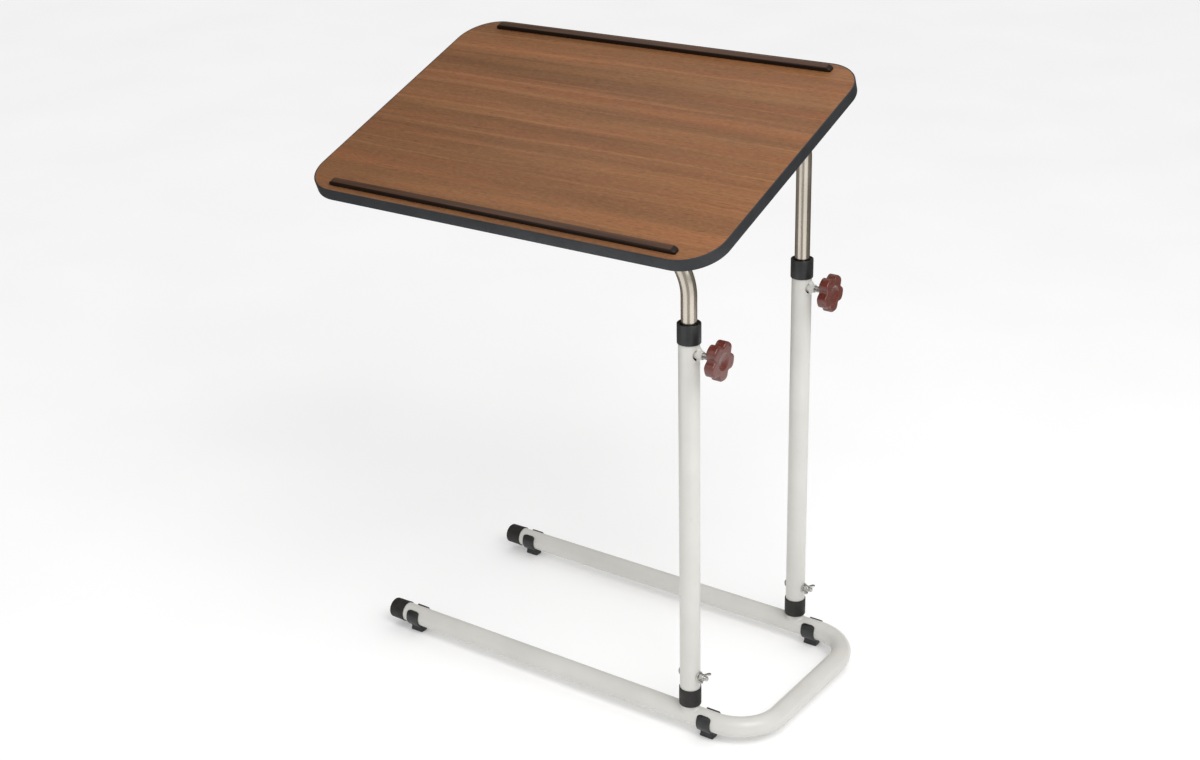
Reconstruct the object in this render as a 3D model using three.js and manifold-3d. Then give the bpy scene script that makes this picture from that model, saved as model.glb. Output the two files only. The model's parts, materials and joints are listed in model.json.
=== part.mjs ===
// An overbed table: a tilting top on two telescopic legs that stand on a U-shaped base.
// Millimetres, +Z up. X runs along the feet, from their open ends to the bend of the base.
// Y runs from the front leg to the back leg.
import * as THREE from "three";
import { mergeVertices } from "three/addons/utils/BufferGeometryUtils.js";
import Module from "manifold-3d";

const wasm = await Module();
wasm.setup();

// ---- Driving dimensions ----
const GAP = 0.3; // between pieces that touch
const LEG_SPACING = 262; // between the axes of the two feet, and of the two legs
const LEG_Y = LEG_SPACING / 2;

// Base, feet and uprights are 25.4 mm steel tube.
const TUBE_R = 12.7;
const TUBE_WALL = 1.5;
const FOOT_Z = 22; // axis of the foot tubes above the floor
const FOOT_OPEN_X = -481; // open end of each foot
const BASE_BEND_X = 37; // where the feet start to bend
const BASE_BEND_R = 56; // to the tube's axis
const UPRIGHT_BOTTOM = 41.1;
const UPRIGHT_TOP = 540.5;
const SPIGOT_R = 10.8; // welded stub that the upright drops over
const SPIGOT_WALL = 2;
const SPIGOT_TOP = 105;
const BOLT_Z = 80; // cross bolt through upright and spigot
const CLAMP_Z = 506; // height clamp's axis

// The support tubes are 19 mm chromed tube, each bent once to carry the top.
const ARM_R = 9.5;
const ARM_WALL = 1.25;
const ARM_BEND_R = 60;
const ARM_Z = 635; // axis of the front arm
const ARM_END_X = -470;
const ARM_DROP = 488; // from the arm's axis to the tube's lower end

// Tabletop, in the frame of the front arm: x along the arm, y up the slope, z square to the board.
const TILT = THREE.MathUtils.degToRad(20.8);
const FLAT_TILT_LIMIT = 0;
const STEEP_TILT_LIMIT = THREE.MathUtils.degToRad(25);
const BOARD_LENGTH = 600;
const BOARD_WIDTH = 400;
const BOARD_CORNER_R = 51;
const BOARD_CENTRE_X = -240;
const BOARD_FRONT_Y = -57; // front edge, in front of the arm's axis
const BOARD_UNDERSIDE = ARM_R + 0.5;
const CORE_THICKNESS = 13.4;
const LAMINATE_THICKNESS = 0.8;
const BAND_THICKNESS = 1.6;
const RIDGE_LENGTH = 512;
const RIDGE_WIDTH = 10;
const RIDGE_HEIGHT = 6;
const RIDGE_INSET = 15; // ridge centre from the board's edge
const REAR_ARM_SLACK = 1.4; // between the rear arm and the board at this tilt
const REAR_CLIP_DEPTH = 23.3; // room below the board for the rear arm
const CLIP_CLEARANCE = 0.4; // round the front arm
const REAR_CLIP_CLEARANCE = 0.8; // beyond the rear arm at either limit of the tilt
const CLIP_WALL = 1.6;
const CLIP_WIDTH = 20; // along the arm
const CLIP_FLANGE = 15;
const CLIP_X = [-400, -130];

// Facets
const TUBE_SIDES = 20;
const SMALL_SIDES = 12;
const BEND_STEPS = 7;
const CORNER_SEGMENTS = 7;

// ---- Materials ----
function finish(color, roughness, metalness) {
  return new THREE.MeshStandardMaterial({ color, roughness, metalness });
}

const cream_paint = finish(0xdddad2, 0.38, 0);
const chrome = finish(0xd8d4cc, 0.12, 1);
const zinc = finish(0xc4c4c0, 0.35, 1);
const black_plastic = finish(0x262626, 0.5, 0);
const rubber = finish(0x1d1d1d, 0.7, 0);
const brown_plastic = finish(0x7a3c33, 0.22, 0);
const wood_laminate = finish(0x7d5037, 0.45, 0);
const backing_laminate = finish(0x4c3527, 0.6, 0);
const chipboard = finish(0xb99a6b, 0.9, 0);
const edge_plastic = finish(0x414446, 0.5, 0);
const ridge_wood = finish(0x2d1c14, 0.35, 0);

// ---- Geometry helpers ----
const X_AXIS = new THREE.Vector3(1, 0, 0);
const Y_AXIS = new THREE.Vector3(0, 1, 0);
const Z_AXIS = new THREE.Vector3(0, 0, 1);
const point = (x, y, z) => new THREE.Vector3(x, y, z);

function toSolid(geometry) {
  const bare = geometry.clone();
  bare.deleteAttribute("normal");
  bare.deleteAttribute("uv");
  const merged = mergeVertices(bare, 1e-3);
  const mesh = new wasm.Mesh({
    numProp: 3,
    vertProperties: merged.attributes.position.array,
    triVerts: new Uint32Array(merged.index.array),
  });
  return new wasm.Manifold(mesh);
}

function toGeometry(solid) {
  const mesh = solid.getMesh();
  return new THREE.BufferGeometry()
    .setAttribute("position", new THREE.BufferAttribute(mesh.vertProperties, 3))
    .setIndex(new THREE.BufferAttribute(mesh.triVerts, 1));
}

function cut(geometry, tools) {
  let solid = toSolid(geometry);
  for (const tool of tools) {
    solid = solid.subtract(toSolid(tool));
  }
  return toGeometry(solid);
}

function join(first, others) {
  let solid = toSolid(first);
  for (const other of others) {
    solid = solid.add(toSolid(other));
  }
  return toGeometry(solid);
}

// Turns a closed profile of [radius, height] points about the Z axis. A profile of a solid piece
// starts and ends on the axis; a ring's profile is closed here.
function turned(profile, sides) {
  const points = profile.map(([radius, height]) => new THREE.Vector2(radius, height));
  const onAxis = points[0].x === 0;
  if (!onAxis) points.push(points[0].clone());
  if (THREE.ShapeUtils.area(points) < 0) points.reverse();
  return new THREE.LatheGeometry(points, sides).rotateX(Math.PI / 2);
}

// The same, about the X axis: heights run along +X.
function turnedAlongX(profile, sides) {
  return turned(profile, sides).rotateY(Math.PI / 2);
}

function rod(radius, from, to, sides) {
  const profile = [[0, from], [radius, from], [radius, to], [0, to]];
  return turned(profile, sides);
}

function rodAlongX(radius, from, to, sides) {
  return rod(radius, from, to, sides).rotateY(Math.PI / 2);
}

function sleeve(outer, inner, from, to, sides) {
  return turned([[inner, from], [outer, from], [outer, to], [inner, to]], sides);
}

// A bend of a tube's axis: it starts at centre + radius * from and turns towards the other direction.
class Bend extends THREE.Curve {
  constructor(centre, from, towards, radius, angle) {
    super();
    Object.assign(this, { centre, from, towards, radius, angle });
  }

  getPoint(t) {
    const turn = this.angle * t;
    return this.centre
      .clone()
      .addScaledVector(this.from, this.radius * Math.cos(turn))
      .addScaledVector(this.towards, this.radius * Math.sin(turn));
  }

  getTangent(t) {
    const turn = this.angle * t;
    return this.from.clone().multiplyScalar(-Math.sin(turn)).addScaledVector(this.towards, Math.cos(turn));
  }
}

// A tube's axis: straight runs of one step each, and bends of several.
class TubeAxis extends THREE.Curve {
  constructor(runs) {
    super();
    this.runs = runs.map((curve) => ({ curve, steps: curve instanceof Bend ? BEND_STEPS : 1 }));
    this.steps = this.runs.reduce((sum, run) => sum + run.steps, 0);
  }

  locate(u) {
    let left = u * this.steps;
    for (const run of this.runs) {
      if (left <= run.steps) return [run.curve, left / run.steps];
      left -= run.steps;
    }
    return [this.runs.at(-1).curve, 1];
  }

  getPointAt(u) {
    const [curve, t] = this.locate(u);
    return curve.getPoint(t);
  }

  getTangentAt(u) {
    const [curve, t] = this.locate(u);
    return curve.getTangent(t);
  }
}

function bentTube(axis, outer, inner) {
  const section = new THREE.Shape().absarc(0, 0, outer, 0, 2 * Math.PI);
  section.holes.push(new THREE.Path().absarc(0, 0, inner, 0, 2 * Math.PI));
  const options = { steps: axis.steps, bevelEnabled: false, curveSegments: TUBE_SIDES / 2 };
  return new THREE.ExtrudeGeometry(section, { ...options, extrudePath: axis });
}

// Extrudes an outline drawn in the YZ plane along X, centred on x.
function alongX(shape, length, x, curveSegments = CORNER_SEGMENTS) {
  const geometry = new THREE.ExtrudeGeometry(shape, { depth: length, bevelEnabled: false, curveSegments });
  const toYZ = new THREE.Matrix4().makeBasis(Y_AXIS, Z_AXIS, X_AXIS);
  return geometry.applyMatrix4(toYZ).translate(x - length / 2, 0, 0);
}

function roundedRectangle(length, width, radius) {
  const shape = new THREE.Shape();
  const x = length / 2 - radius;
  const y = width / 2 - radius;
  shape.absarc(x, -y, radius, -Math.PI / 2, 0);
  shape.absarc(x, y, radius, 0, Math.PI / 2);
  shape.absarc(-x, y, radius, Math.PI / 2, Math.PI);
  shape.absarc(-x, -y, radius, Math.PI, 1.5 * Math.PI);
  return shape;
}

function piece(parent, name, geometry, material) {
  const mesh = new THREE.Mesh(geometry, material);
  mesh.name = name;
  parent.add(mesh);
}

const table = new THREE.Group();

// ---- Base: one tube bent to a U, with its end caps and glides ----
const BASE_BAR_X = BASE_BEND_X + BASE_BEND_R; // axis of the bar that joins the feet

function baseTube() {
  const inner = LEG_Y - BASE_BEND_R;
  const axis = new TubeAxis([
    new THREE.LineCurve3(point(FOOT_OPEN_X, -LEG_Y, FOOT_Z), point(BASE_BEND_X, -LEG_Y, FOOT_Z)),
    new Bend(point(BASE_BEND_X, -inner, FOOT_Z), Y_AXIS.clone().negate(), X_AXIS, BASE_BEND_R, Math.PI / 2),
    new THREE.LineCurve3(point(BASE_BAR_X, -inner, FOOT_Z), point(BASE_BAR_X, inner, FOOT_Z)),
    new Bend(point(BASE_BEND_X, inner, FOOT_Z), X_AXIS, Y_AXIS, BASE_BEND_R, Math.PI / 2),
    new THREE.LineCurve3(point(BASE_BEND_X, LEG_Y, FOOT_Z), point(FOOT_OPEN_X, LEG_Y, FOOT_Z)),
  ]);
  return bentTube(axis, TUBE_R, TUBE_R - TUBE_WALL);
}

// A ferrule pushed over the foot's open end.
const CAP_R = 13.9;
const CAP_LENGTH = 24;
const CAP_FLOOR = 2.2;
const CAP_CHAMFER = 2;

function endCap(y) {
  const bore = TUBE_R + GAP;
  const profile = [
    [0, 0],
    [CAP_R - CAP_CHAMFER, 0],
    [CAP_R, CAP_CHAMFER],
    [CAP_R, CAP_LENGTH],
    [bore, CAP_LENGTH],
    [bore, CAP_FLOOR],
    [0, CAP_FLOOR],
  ];
  const outside = FOOT_OPEN_X - GAP - CAP_FLOOR;
  return turnedAlongX(profile, TUBE_SIDES).translate(outside, y, FOOT_Z);
}

// A saddle that clips round the foot tube from below and stands on a small pad.
const GLIDE_LENGTH = 19;
const GLIDE_WALL = 2;
const GLIDE_PAD_HALF = 6;
const GLIDE_PAD_HEIGHT = 1.8;
const GLIDE_NECK_HALF = 4.6;
const GLIDE_LIP = THREE.MathUtils.degToRad(50); // how far each lip wraps above the tube's axis
const GLIDE_X = [-442, 26.5];

function glide(x, y) {
  const inner = TUBE_R + GAP;
  const outer = inner + GLIDE_WALL;
  const neck = Math.asin(GLIDE_NECK_HALF / outer);
  const shape = new THREE.Shape();
  shape.moveTo(-GLIDE_PAD_HALF, 0);
  shape.lineTo(GLIDE_PAD_HALF, 0);
  shape.lineTo(GLIDE_PAD_HALF, GLIDE_PAD_HEIGHT);
  shape.quadraticCurveTo(
    GLIDE_NECK_HALF,
    GLIDE_PAD_HEIGHT + 1,
    GLIDE_NECK_HALF,
    FOOT_Z - outer * Math.cos(neck),
  );
  shape.absarc(0, FOOT_Z, outer, neck - Math.PI / 2, GLIDE_LIP, false);
  shape.absarc(0, FOOT_Z, inner, GLIDE_LIP, Math.PI - GLIDE_LIP, true);
  shape.absarc(0, FOOT_Z, outer, Math.PI - GLIDE_LIP, 1.5 * Math.PI - neck, false);
  shape.quadraticCurveTo(
    -GLIDE_NECK_HALF,
    GLIDE_PAD_HEIGHT + 1,
    -GLIDE_PAD_HALF,
    GLIDE_PAD_HEIGHT,
  );
  return alongX(shape, GLIDE_LENGTH, x).translate(0, y, 0);
}

// ---- Legs ----
// The spigot's foot is cut to sit on the round of the foot tube.
function spigot() {
  const stub = sleeve(SPIGOT_R, SPIGOT_R - SPIGOT_WALL, FOOT_Z, SPIGOT_TOP, TUBE_SIDES);
  const saddle = rodAlongX(TUBE_R + GAP, -2 * TUBE_R, 2 * TUBE_R, TUBE_SIDES).translate(0, 0, FOOT_Z);
  return cut(stub, [saddle, boltHole()]);
}

const BOLT_R = 3;
const BOLT_HOLE_R = 3.4;

function boltHole() {
  return rodAlongX(BOLT_HOLE_R, -2 * TUBE_R, 2 * TUBE_R, SMALL_SIDES).translate(0, 0, BOLT_Z);
}

const STUD_R = 3.9;
const STUD_HOLE_R = 4.6;

function upright() {
  const tube = sleeve(TUBE_R, TUBE_R - TUBE_WALL, UPRIGHT_BOTTOM, UPRIGHT_TOP, TUBE_SIDES);
  const studHole = rodAlongX(STUD_HOLE_R, 0, 2 * TUBE_R, SMALL_SIDES).translate(0, 0, CLAMP_Z);
  return cut(tube, [boltHole(), studHole]);
}

// A cup under the upright, open round the spigot.
const LOWER_COLLAR_R = 14;
const LOWER_COLLAR_TOP = 62;
const LOWER_COLLAR_BOTTOM = 38.5; // clear of the weld round the spigot

function lowerCollar() {
  const bore = TUBE_R + GAP;
  const floor = UPRIGHT_BOTTOM - GAP;
  return turned(
    [
      [SPIGOT_R + GAP, LOWER_COLLAR_BOTTOM],
      [LOWER_COLLAR_R, LOWER_COLLAR_BOTTOM],
      [LOWER_COLLAR_R, LOWER_COLLAR_TOP],
      [bore, LOWER_COLLAR_TOP],
      [bore, floor],
      [SPIGOT_R + GAP, floor],
    ],
    TUBE_SIDES,
  );
}

// A cap over the upright's top whose inner sleeve guides the support tube.
const UPPER_COLLAR_R = 14.5;
const UPPER_COLLAR_BOTTOM = 518.5;
const UPPER_COLLAR_TOP = 543;
const UPPER_COLLAR_CHAMFER = 1;
const GUIDE_BORE_R = 9.9;
const GUIDE_BOTTOM = 515;

function upperCollar() {
  const skirtBore = TUBE_R + GAP;
  const guideOuter = TUBE_R - TUBE_WALL - GAP;
  const ceiling = UPRIGHT_TOP + GAP;
  return turned(
    [
      [GUIDE_BORE_R, GUIDE_BOTTOM],
      [guideOuter, GUIDE_BOTTOM],
      [guideOuter, ceiling],
      [skirtBore, ceiling],
      [skirtBore, UPPER_COLLAR_BOTTOM],
      [UPPER_COLLAR_R, UPPER_COLLAR_BOTTOM],
      [UPPER_COLLAR_R, UPPER_COLLAR_TOP - UPPER_COLLAR_CHAMFER],
      [UPPER_COLLAR_R - UPPER_COLLAR_CHAMFER, UPPER_COLLAR_TOP],
      [GUIDE_BORE_R, UPPER_COLLAR_TOP],
    ],
    TUBE_SIDES,
  );
}

// ---- Height clamp: a nut welded to the upright, a threaded stud and a lobed knob ----
const NUT_BASE = TUBE_R + GAP; // distances along the clamp's axis, from the leg's axis
const NUT_FACE = 19.5;
const NUT_FLANGE_R = 9; // the weld's foot
const NUT_FLANGE = 2;
const NUT_R = 6.6;
const STUD_TIP = ARM_R + GAP;
const STUD_TIP_CHAMFER = 1.3;
const STUD_HEAD = 43;
const KNOB_BACK = 33.5;
const KNOB_FACE = 46.5;
const KNOB_R = 24.5;
const KNOB_LOBES = 5;
const KNOB_LOBE_DEPTH = 3.2; // either side of the middle radius
const KNOB_BEVEL = 3;
const KNOB_DISH_R = 9;
const KNOB_DISH_DEPTH = 1.2;
const KNOB_TURN = THREE.MathUtils.degToRad(-16);

function weldNut() {
  const profile = [
    [STUD_R + GAP, NUT_BASE],
    [NUT_FLANGE_R, NUT_BASE],
    [NUT_FLANGE_R, NUT_BASE + NUT_FLANGE],
    [NUT_R, NUT_FACE],
    [STUD_R + GAP, NUT_FACE],
  ];
  return turnedAlongX(profile, SMALL_SIDES).translate(0, 0, CLAMP_Z);
}

function stud() {
  const profile = [
    [0, STUD_TIP],
    [STUD_R - STUD_TIP_CHAMFER, STUD_TIP],
    [STUD_R, STUD_TIP + STUD_TIP_CHAMFER],
    [STUD_R, STUD_HEAD],
    [0, STUD_HEAD],
  ];
  return turnedAlongX(profile, SMALL_SIDES).translate(0, 0, CLAMP_Z);
}

function knob() {
  const outline = [];
  const count = KNOB_LOBES * 8;
  const middle = KNOB_R - KNOB_BEVEL - KNOB_LOBE_DEPTH;
  for (let i = 0; i < count; i += 1) {
    const angle = (2 * Math.PI * i) / count;
    const radius = middle + KNOB_LOBE_DEPTH * Math.cos(KNOB_LOBES * (angle - KNOB_TURN));
    outline.push(new THREE.Vector2(radius * Math.cos(angle), radius * Math.sin(angle)));
  }
  const bevel = { bevelSize: KNOB_BEVEL, bevelThickness: KNOB_BEVEL, bevelSegments: 2 };
  const depth = KNOB_FACE - KNOB_BACK - 2 * KNOB_BEVEL;
  const toYZ = new THREE.Matrix4().makeBasis(Y_AXIS, Z_AXIS, X_AXIS);
  const body = new THREE.ExtrudeGeometry(new THREE.Shape(outline), { depth, ...bevel })
    .applyMatrix4(toYZ)
    .translate(KNOB_BACK + KNOB_BEVEL, 0, 0);
  const bore = rodAlongX(STUD_R + GAP, KNOB_BACK - 1, STUD_HEAD + GAP, SMALL_SIDES);
  const dish = rodAlongX(KNOB_DISH_R, KNOB_FACE - KNOB_DISH_DEPTH, KNOB_FACE + 1, SMALL_SIDES);
  return cut(body, [bore, dish]).translate(0, 0, CLAMP_Z);
}

// ---- Cross bolt, washer and wing nut that hold the upright on its spigot ----
const WASHER_THICKNESS = 1.2;
const WASHER_R = 6.4;
const WING_NUT_START = TUBE_R + 2 * GAP + WASHER_THICKNESS;
const WING_NUT_LENGTH = 6;
const WING_NUT_R = 5;
const WING_SPAN = 12; // from the bolt's axis to a wing's tip
const WING_THICKNESS = 1.8;
const WING_ROOT = 2.5; // where a wing starts, inside the hub
const BOLT_END = WING_NUT_START + WING_NUT_LENGTH + 5;
const BOLT_HEAD_R = 5;
const BOLT_HEAD_HEIGHT = 3.2;
const BOLT_HEAD_CHAMFER = 1.4;
const WING_TURN = THREE.MathUtils.degToRad(5); // from level

function crossBolt() {
  const under = -(TUBE_R + GAP);
  const profile = [
    [0, under - BOLT_HEAD_HEIGHT],
    [BOLT_HEAD_R - BOLT_HEAD_CHAMFER, under - BOLT_HEAD_HEIGHT],
    [BOLT_HEAD_R, under - BOLT_HEAD_CHAMFER],
    [BOLT_HEAD_R, under],
    [BOLT_R, under],
    [BOLT_R, BOLT_END],
    [0, BOLT_END],
  ];
  return turnedAlongX(profile, SMALL_SIDES).translate(0, 0, BOLT_Z);
}

function washer() {
  const from = TUBE_R + GAP;
  const ring = sleeve(WASHER_R, BOLT_HOLE_R, from, from + WASHER_THICKNESS, SMALL_SIDES);
  return ring.rotateY(Math.PI / 2).translate(0, 0, BOLT_Z);
}

// Each wing leans away from the upright as it leaves the hub, and ends in a blunt tip.
function wingOutline(side) {
  const wing = new THREE.Shape();
  wing.moveTo(side * WING_ROOT, 1);
  wing.lineTo(side * (WING_NUT_R + 1), 2);
  wing.lineTo(side * WING_SPAN, WING_NUT_LENGTH + 0.5);
  wing.lineTo(side * (WING_SPAN - 1), WING_NUT_LENGTH + 3.5);
  wing.lineTo(side * (WING_SPAN - 4), WING_NUT_LENGTH + 3);
  wing.lineTo(side * WING_ROOT, WING_NUT_LENGTH - 1);
  return wing;
}

function wingNut() {
  const hub = sleeve(WING_NUT_R, 0.5 * BOLT_R, 0, WING_NUT_LENGTH, SMALL_SIDES);
  const wings = [1, -1].map((side) => {
    const options = { depth: WING_THICKNESS, bevelEnabled: false };
    const plate = new THREE.ExtrudeGeometry(wingOutline(side), options);
    return plate.translate(0, 0, -WING_THICKNESS / 2).rotateX(Math.PI / 2);
  });
  const nut = join(hub, wings);
  const bore = rod(BOLT_R + GAP, -1, WING_NUT_LENGTH + 6, SMALL_SIDES);
  return cut(nut, [bore])
    .rotateZ(WING_TURN)
    .rotateY(Math.PI / 2)
    .translate(WING_NUT_START, 0, BOLT_Z);
}

// ---- Support tubes: chromed, bent once, with a guide plug below and a plug in the arm's end ----
function supportTube(armZ) {
  const bendCentre = point(-ARM_BEND_R, 0, armZ - ARM_BEND_R);
  const axis = new TubeAxis([
    new THREE.LineCurve3(point(0, 0, armZ - ARM_DROP), point(0, 0, armZ - ARM_BEND_R)),
    new Bend(bendCentre, X_AXIS, Z_AXIS, ARM_BEND_R, Math.PI / 2),
    new THREE.LineCurve3(point(-ARM_BEND_R, 0, armZ), point(ARM_END_X, 0, armZ)),
  ]);
  return bentTube(axis, ARM_R, ARM_R - ARM_WALL);
}

// Each plug has a head outside the tube and a shank inside it.
const PLUG_CHAMFER = 1;

function plug(headR, headLength, shankLength) {
  const shankR = ARM_R - ARM_WALL - GAP;
  const profile = [
    [0, -headLength],
    [headR - PLUG_CHAMFER, -headLength],
    [headR, PLUG_CHAMFER - headLength],
    [headR, -GAP],
    [shankR, -GAP],
    [shankR, shankLength],
    [0, shankLength],
  ];
  return turned(profile, SMALL_SIDES);
}

function guidePlug(armZ) {
  return plug(TUBE_R - TUBE_WALL - GAP, 8, 14).translate(0, 0, armZ - ARM_DROP);
}

function armPlug(armZ) {
  return plug(ARM_R, 3, 12).rotateY(Math.PI / 2).translate(ARM_END_X, 0, armZ);
}

// ---- Both legs ----
const rearLift = LEG_SPACING * Math.tan(TILT) - (REAR_ARM_SLACK - 0.5) / Math.cos(TILT);
const legs = [
  { side: "front", y: -LEG_Y, armZ: ARM_Z },
  { side: "back", y: LEG_Y, armZ: ARM_Z + rearLift },
];

piece(table, "base_tube", baseTube(), cream_paint);
for (const { side, y, armZ } of legs) {
  const leg = new THREE.Group();
  leg.position.y = y;
  table.add(leg);
  piece(leg, `spigot_${side}`, spigot(), cream_paint);
  piece(leg, `lower_collar_${side}`, lowerCollar(), rubber);
  piece(leg, `upright_${side}`, upright(), cream_paint);
  piece(leg, `upper_collar_${side}`, upperCollar(), black_plastic);
  piece(leg, `weld_nut_${side}`, weldNut(), cream_paint);
  piece(leg, `clamp_stud_${side}`, stud(), zinc);
  piece(leg, `clamp_knob_${side}`, knob(), brown_plastic);
  piece(leg, `cross_bolt_${side}`, crossBolt(), zinc);
  piece(leg, `washer_${side}`, washer(), zinc);
  piece(leg, `wing_nut_${side}`, wingNut(), zinc);
  piece(leg, `support_tube_${side}`, supportTube(armZ), chrome);
  piece(leg, `guide_plug_${side}`, guidePlug(armZ), black_plastic);
  piece(leg, `arm_plug_${side}`, armPlug(armZ), black_plastic);
  piece(table, `end_cap_${side}`, endCap(y), rubber);
  piece(table, `glide_${side}_open`, glide(GLIDE_X[0], y), black_plastic);
  piece(table, `glide_${side}_bend`, glide(GLIDE_X[1], y), black_plastic);
}

// ---- Tabletop ----
const top = new THREE.Group();
top.position.set(0, -LEG_Y, ARM_Z);
top.rotation.x = TILT;
table.add(top);

const BOARD_CENTRE_Y = BOARD_FRONT_Y + BOARD_WIDTH / 2;
const CORE_BOTTOM = BOARD_UNDERSIDE + LAMINATE_THICKNESS + GAP;
const CORE_TOP = CORE_BOTTOM + CORE_THICKNESS;
const BOARD_TOP = CORE_TOP + GAP + LAMINATE_THICKNESS;
const RIDGE_BASE = CORE_TOP + GAP; // each ridge is let into a groove in the laminate
const RIDGE_TOP = BOARD_TOP + RIDGE_HEIGHT;
const INNER_TRIM = BAND_THICKNESS + GAP; // from the board's edge to the core and laminates

function sheet(trim, from, to) {
  const outline = roundedRectangle(
    BOARD_LENGTH - 2 * trim,
    BOARD_WIDTH - 2 * trim,
    BOARD_CORNER_R - trim,
  );
  const options = { depth: to - from, bevelEnabled: false, curveSegments: CORNER_SEGMENTS / 2 };
  return new THREE.ExtrudeGeometry(outline, options).translate(BOARD_CENTRE_X, BOARD_CENTRE_Y, from);
}

function edgeBand() {
  const outside = sheet(0, BOARD_UNDERSIDE, BOARD_TOP);
  return cut(outside, [sheet(BAND_THICKNESS, BOARD_UNDERSIDE - 1, BOARD_TOP + 1)]);
}

// Pan-headed screws hold the clips, and countersunk screws hold the ridges from below.
const SCREW_R = 1.9;
const SCREW_CLEARANCE = SCREW_R + GAP;
const CLIP_SCREW_DEPTH = 11; // into the board
const PAN_HEAD_R = 4;
const PAN_HEAD_HEIGHT = 2.4;
const PAN_HEAD_CHAMFER = 1.4;
const SCREW_SIDES = 8;
const RIDGE_SCREW_HEAD_R = 3.8;
const RIDGE_SCREW_TIP = BOARD_TOP + 3.5;
const RIDGE_SCREW_X = [-200, 0, 200].map((x) => BOARD_CENTRE_X + x);

const CLIP_INNER_R = ARM_R + CLIP_CLEARANCE;
const FRONT_CLIP = {
  name: "front",
  from: -CLIP_INNER_R,
  to: CLIP_INNER_R,
  depth: BOARD_UNDERSIDE + CLIP_INNER_R,
};
const REAR_CLIP = {
  name: "back",
  from: LEG_SPACING / Math.cos(FLAT_TILT_LIMIT) - ARM_R - REAR_CLIP_CLEARANCE,
  to: LEG_SPACING / Math.cos(STEEP_TILT_LIMIT) + ARM_R + REAR_CLIP_CLEARANCE,
  depth: REAR_CLIP_DEPTH,
};
const clips = [FRONT_CLIP, REAR_CLIP];
const ridgeCentres = [
  { side: "front", y: BOARD_FRONT_Y + RIDGE_INSET },
  { side: "back", y: BOARD_FRONT_Y + BOARD_WIDTH - RIDGE_INSET },
];

const clipScrewPlaces = [];
for (const { name, from, to } of clips) {
  CLIP_X.forEach((x, i) => {
    const offset = CLIP_WALL + CLIP_FLANGE / 2;
    clipScrewPlaces.push({ name: `clip_screw_${name}_${i + 1}a`, x, y: from - offset });
    clipScrewPlaces.push({ name: `clip_screw_${name}_${i + 1}b`, x, y: to + offset });
  });
}
const ridgeScrewPlaces = ridgeCentres.flatMap(({ side, y }) =>
  RIDGE_SCREW_X.map((x, i) => ({ name: `ridge_screw_${side}_${i + 1}`, x, y })),
);

function clipScrewHole({ x, y }, from, to) {
  return rod(SCREW_CLEARANCE, from, to, SCREW_SIDES).translate(x, y, 0);
}

// A straight hole with a countersink at the board's underside.
function ridgeScrewHole({ x, y }, to) {
  const head = RIDGE_SCREW_HEAD_R + GAP;
  const sink = BOARD_UNDERSIDE + head - SCREW_CLEARANCE;
  const below = BOARD_UNDERSIDE - 1;
  const profile = [
    [0, below],
    [head, below],
    [head, BOARD_UNDERSIDE],
    [SCREW_CLEARANCE, sink],
    [SCREW_CLEARANCE, to],
    [0, to],
  ];
  return turned(profile, SCREW_SIDES).translate(x, y, 0);
}

function ridgeScrew({ x, y }) {
  const profile = [
    [0, BOARD_UNDERSIDE],
    [RIDGE_SCREW_HEAD_R, BOARD_UNDERSIDE],
    [SCREW_R, BOARD_UNDERSIDE + RIDGE_SCREW_HEAD_R - SCREW_R],
    [SCREW_R, RIDGE_SCREW_TIP - 1],
    [0, RIDGE_SCREW_TIP],
  ];
  return turned(profile, SCREW_SIDES).translate(x, y, 0);
}

function clipScrew({ x, y }) {
  const seat = BOARD_UNDERSIDE - CLIP_WALL - 2 * GAP;
  const tip = BOARD_UNDERSIDE + CLIP_SCREW_DEPTH;
  const profile = [
    [0, seat - PAN_HEAD_HEIGHT],
    [PAN_HEAD_R - PAN_HEAD_CHAMFER, seat - PAN_HEAD_HEIGHT],
    [PAN_HEAD_R, seat - PAN_HEAD_HEIGHT + PAN_HEAD_CHAMFER],
    [PAN_HEAD_R, seat],
    [SCREW_R, seat],
    [SCREW_R, tip - 2],
    [0, tip],
  ];
  return turned(profile, SCREW_SIDES).translate(x, y, 0);
}

// A strap bent round the arm, with a flange on each side against the board. The rear ones are
// wider than the arm, which slides in them as the top tilts.
function clip({ from, to, depth }, x) {
  const high = BOARD_UNDERSIDE - GAP;
  const low = BOARD_UNDERSIDE - depth;
  const inner = CLIP_INNER_R;
  const outer = inner + CLIP_WALL;
  const shape = new THREE.Shape();
  shape.moveTo(from - CLIP_WALL - CLIP_FLANGE, high);
  shape.lineTo(from - CLIP_WALL - CLIP_FLANGE, high - CLIP_WALL);
  shape.lineTo(from - CLIP_WALL, high - CLIP_WALL);
  shape.absarc(from + inner, low + inner, outer, Math.PI, 1.5 * Math.PI);
  shape.absarc(to - inner, low + inner, outer, 1.5 * Math.PI, 2 * Math.PI);
  shape.lineTo(to + CLIP_WALL, high - CLIP_WALL);
  shape.lineTo(to + CLIP_WALL + CLIP_FLANGE, high - CLIP_WALL);
  shape.lineTo(to + CLIP_WALL + CLIP_FLANGE, high);
  shape.lineTo(to, high);
  shape.absarc(to - inner, low + inner, inner, 2 * Math.PI, 1.5 * Math.PI, true);
  shape.absarc(from + inner, low + inner, inner, 1.5 * Math.PI, Math.PI, true);
  shape.lineTo(from, high);
  const strap = alongX(shape, CLIP_WIDTH, x, 3);
  const offset = CLIP_WALL + CLIP_FLANGE / 2;
  const holes = [from - offset, to + offset].map((y) => clipScrewHole({ x, y }, high - 4, high + 1));
  return cut(strap, holes);
}

// A low strip with chamfered long edges and sloping ends.
const RIDGE_CHAMFER = 1.6;
const RIDGE_END_ANGLE = THREE.MathUtils.degToRad(50);

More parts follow.
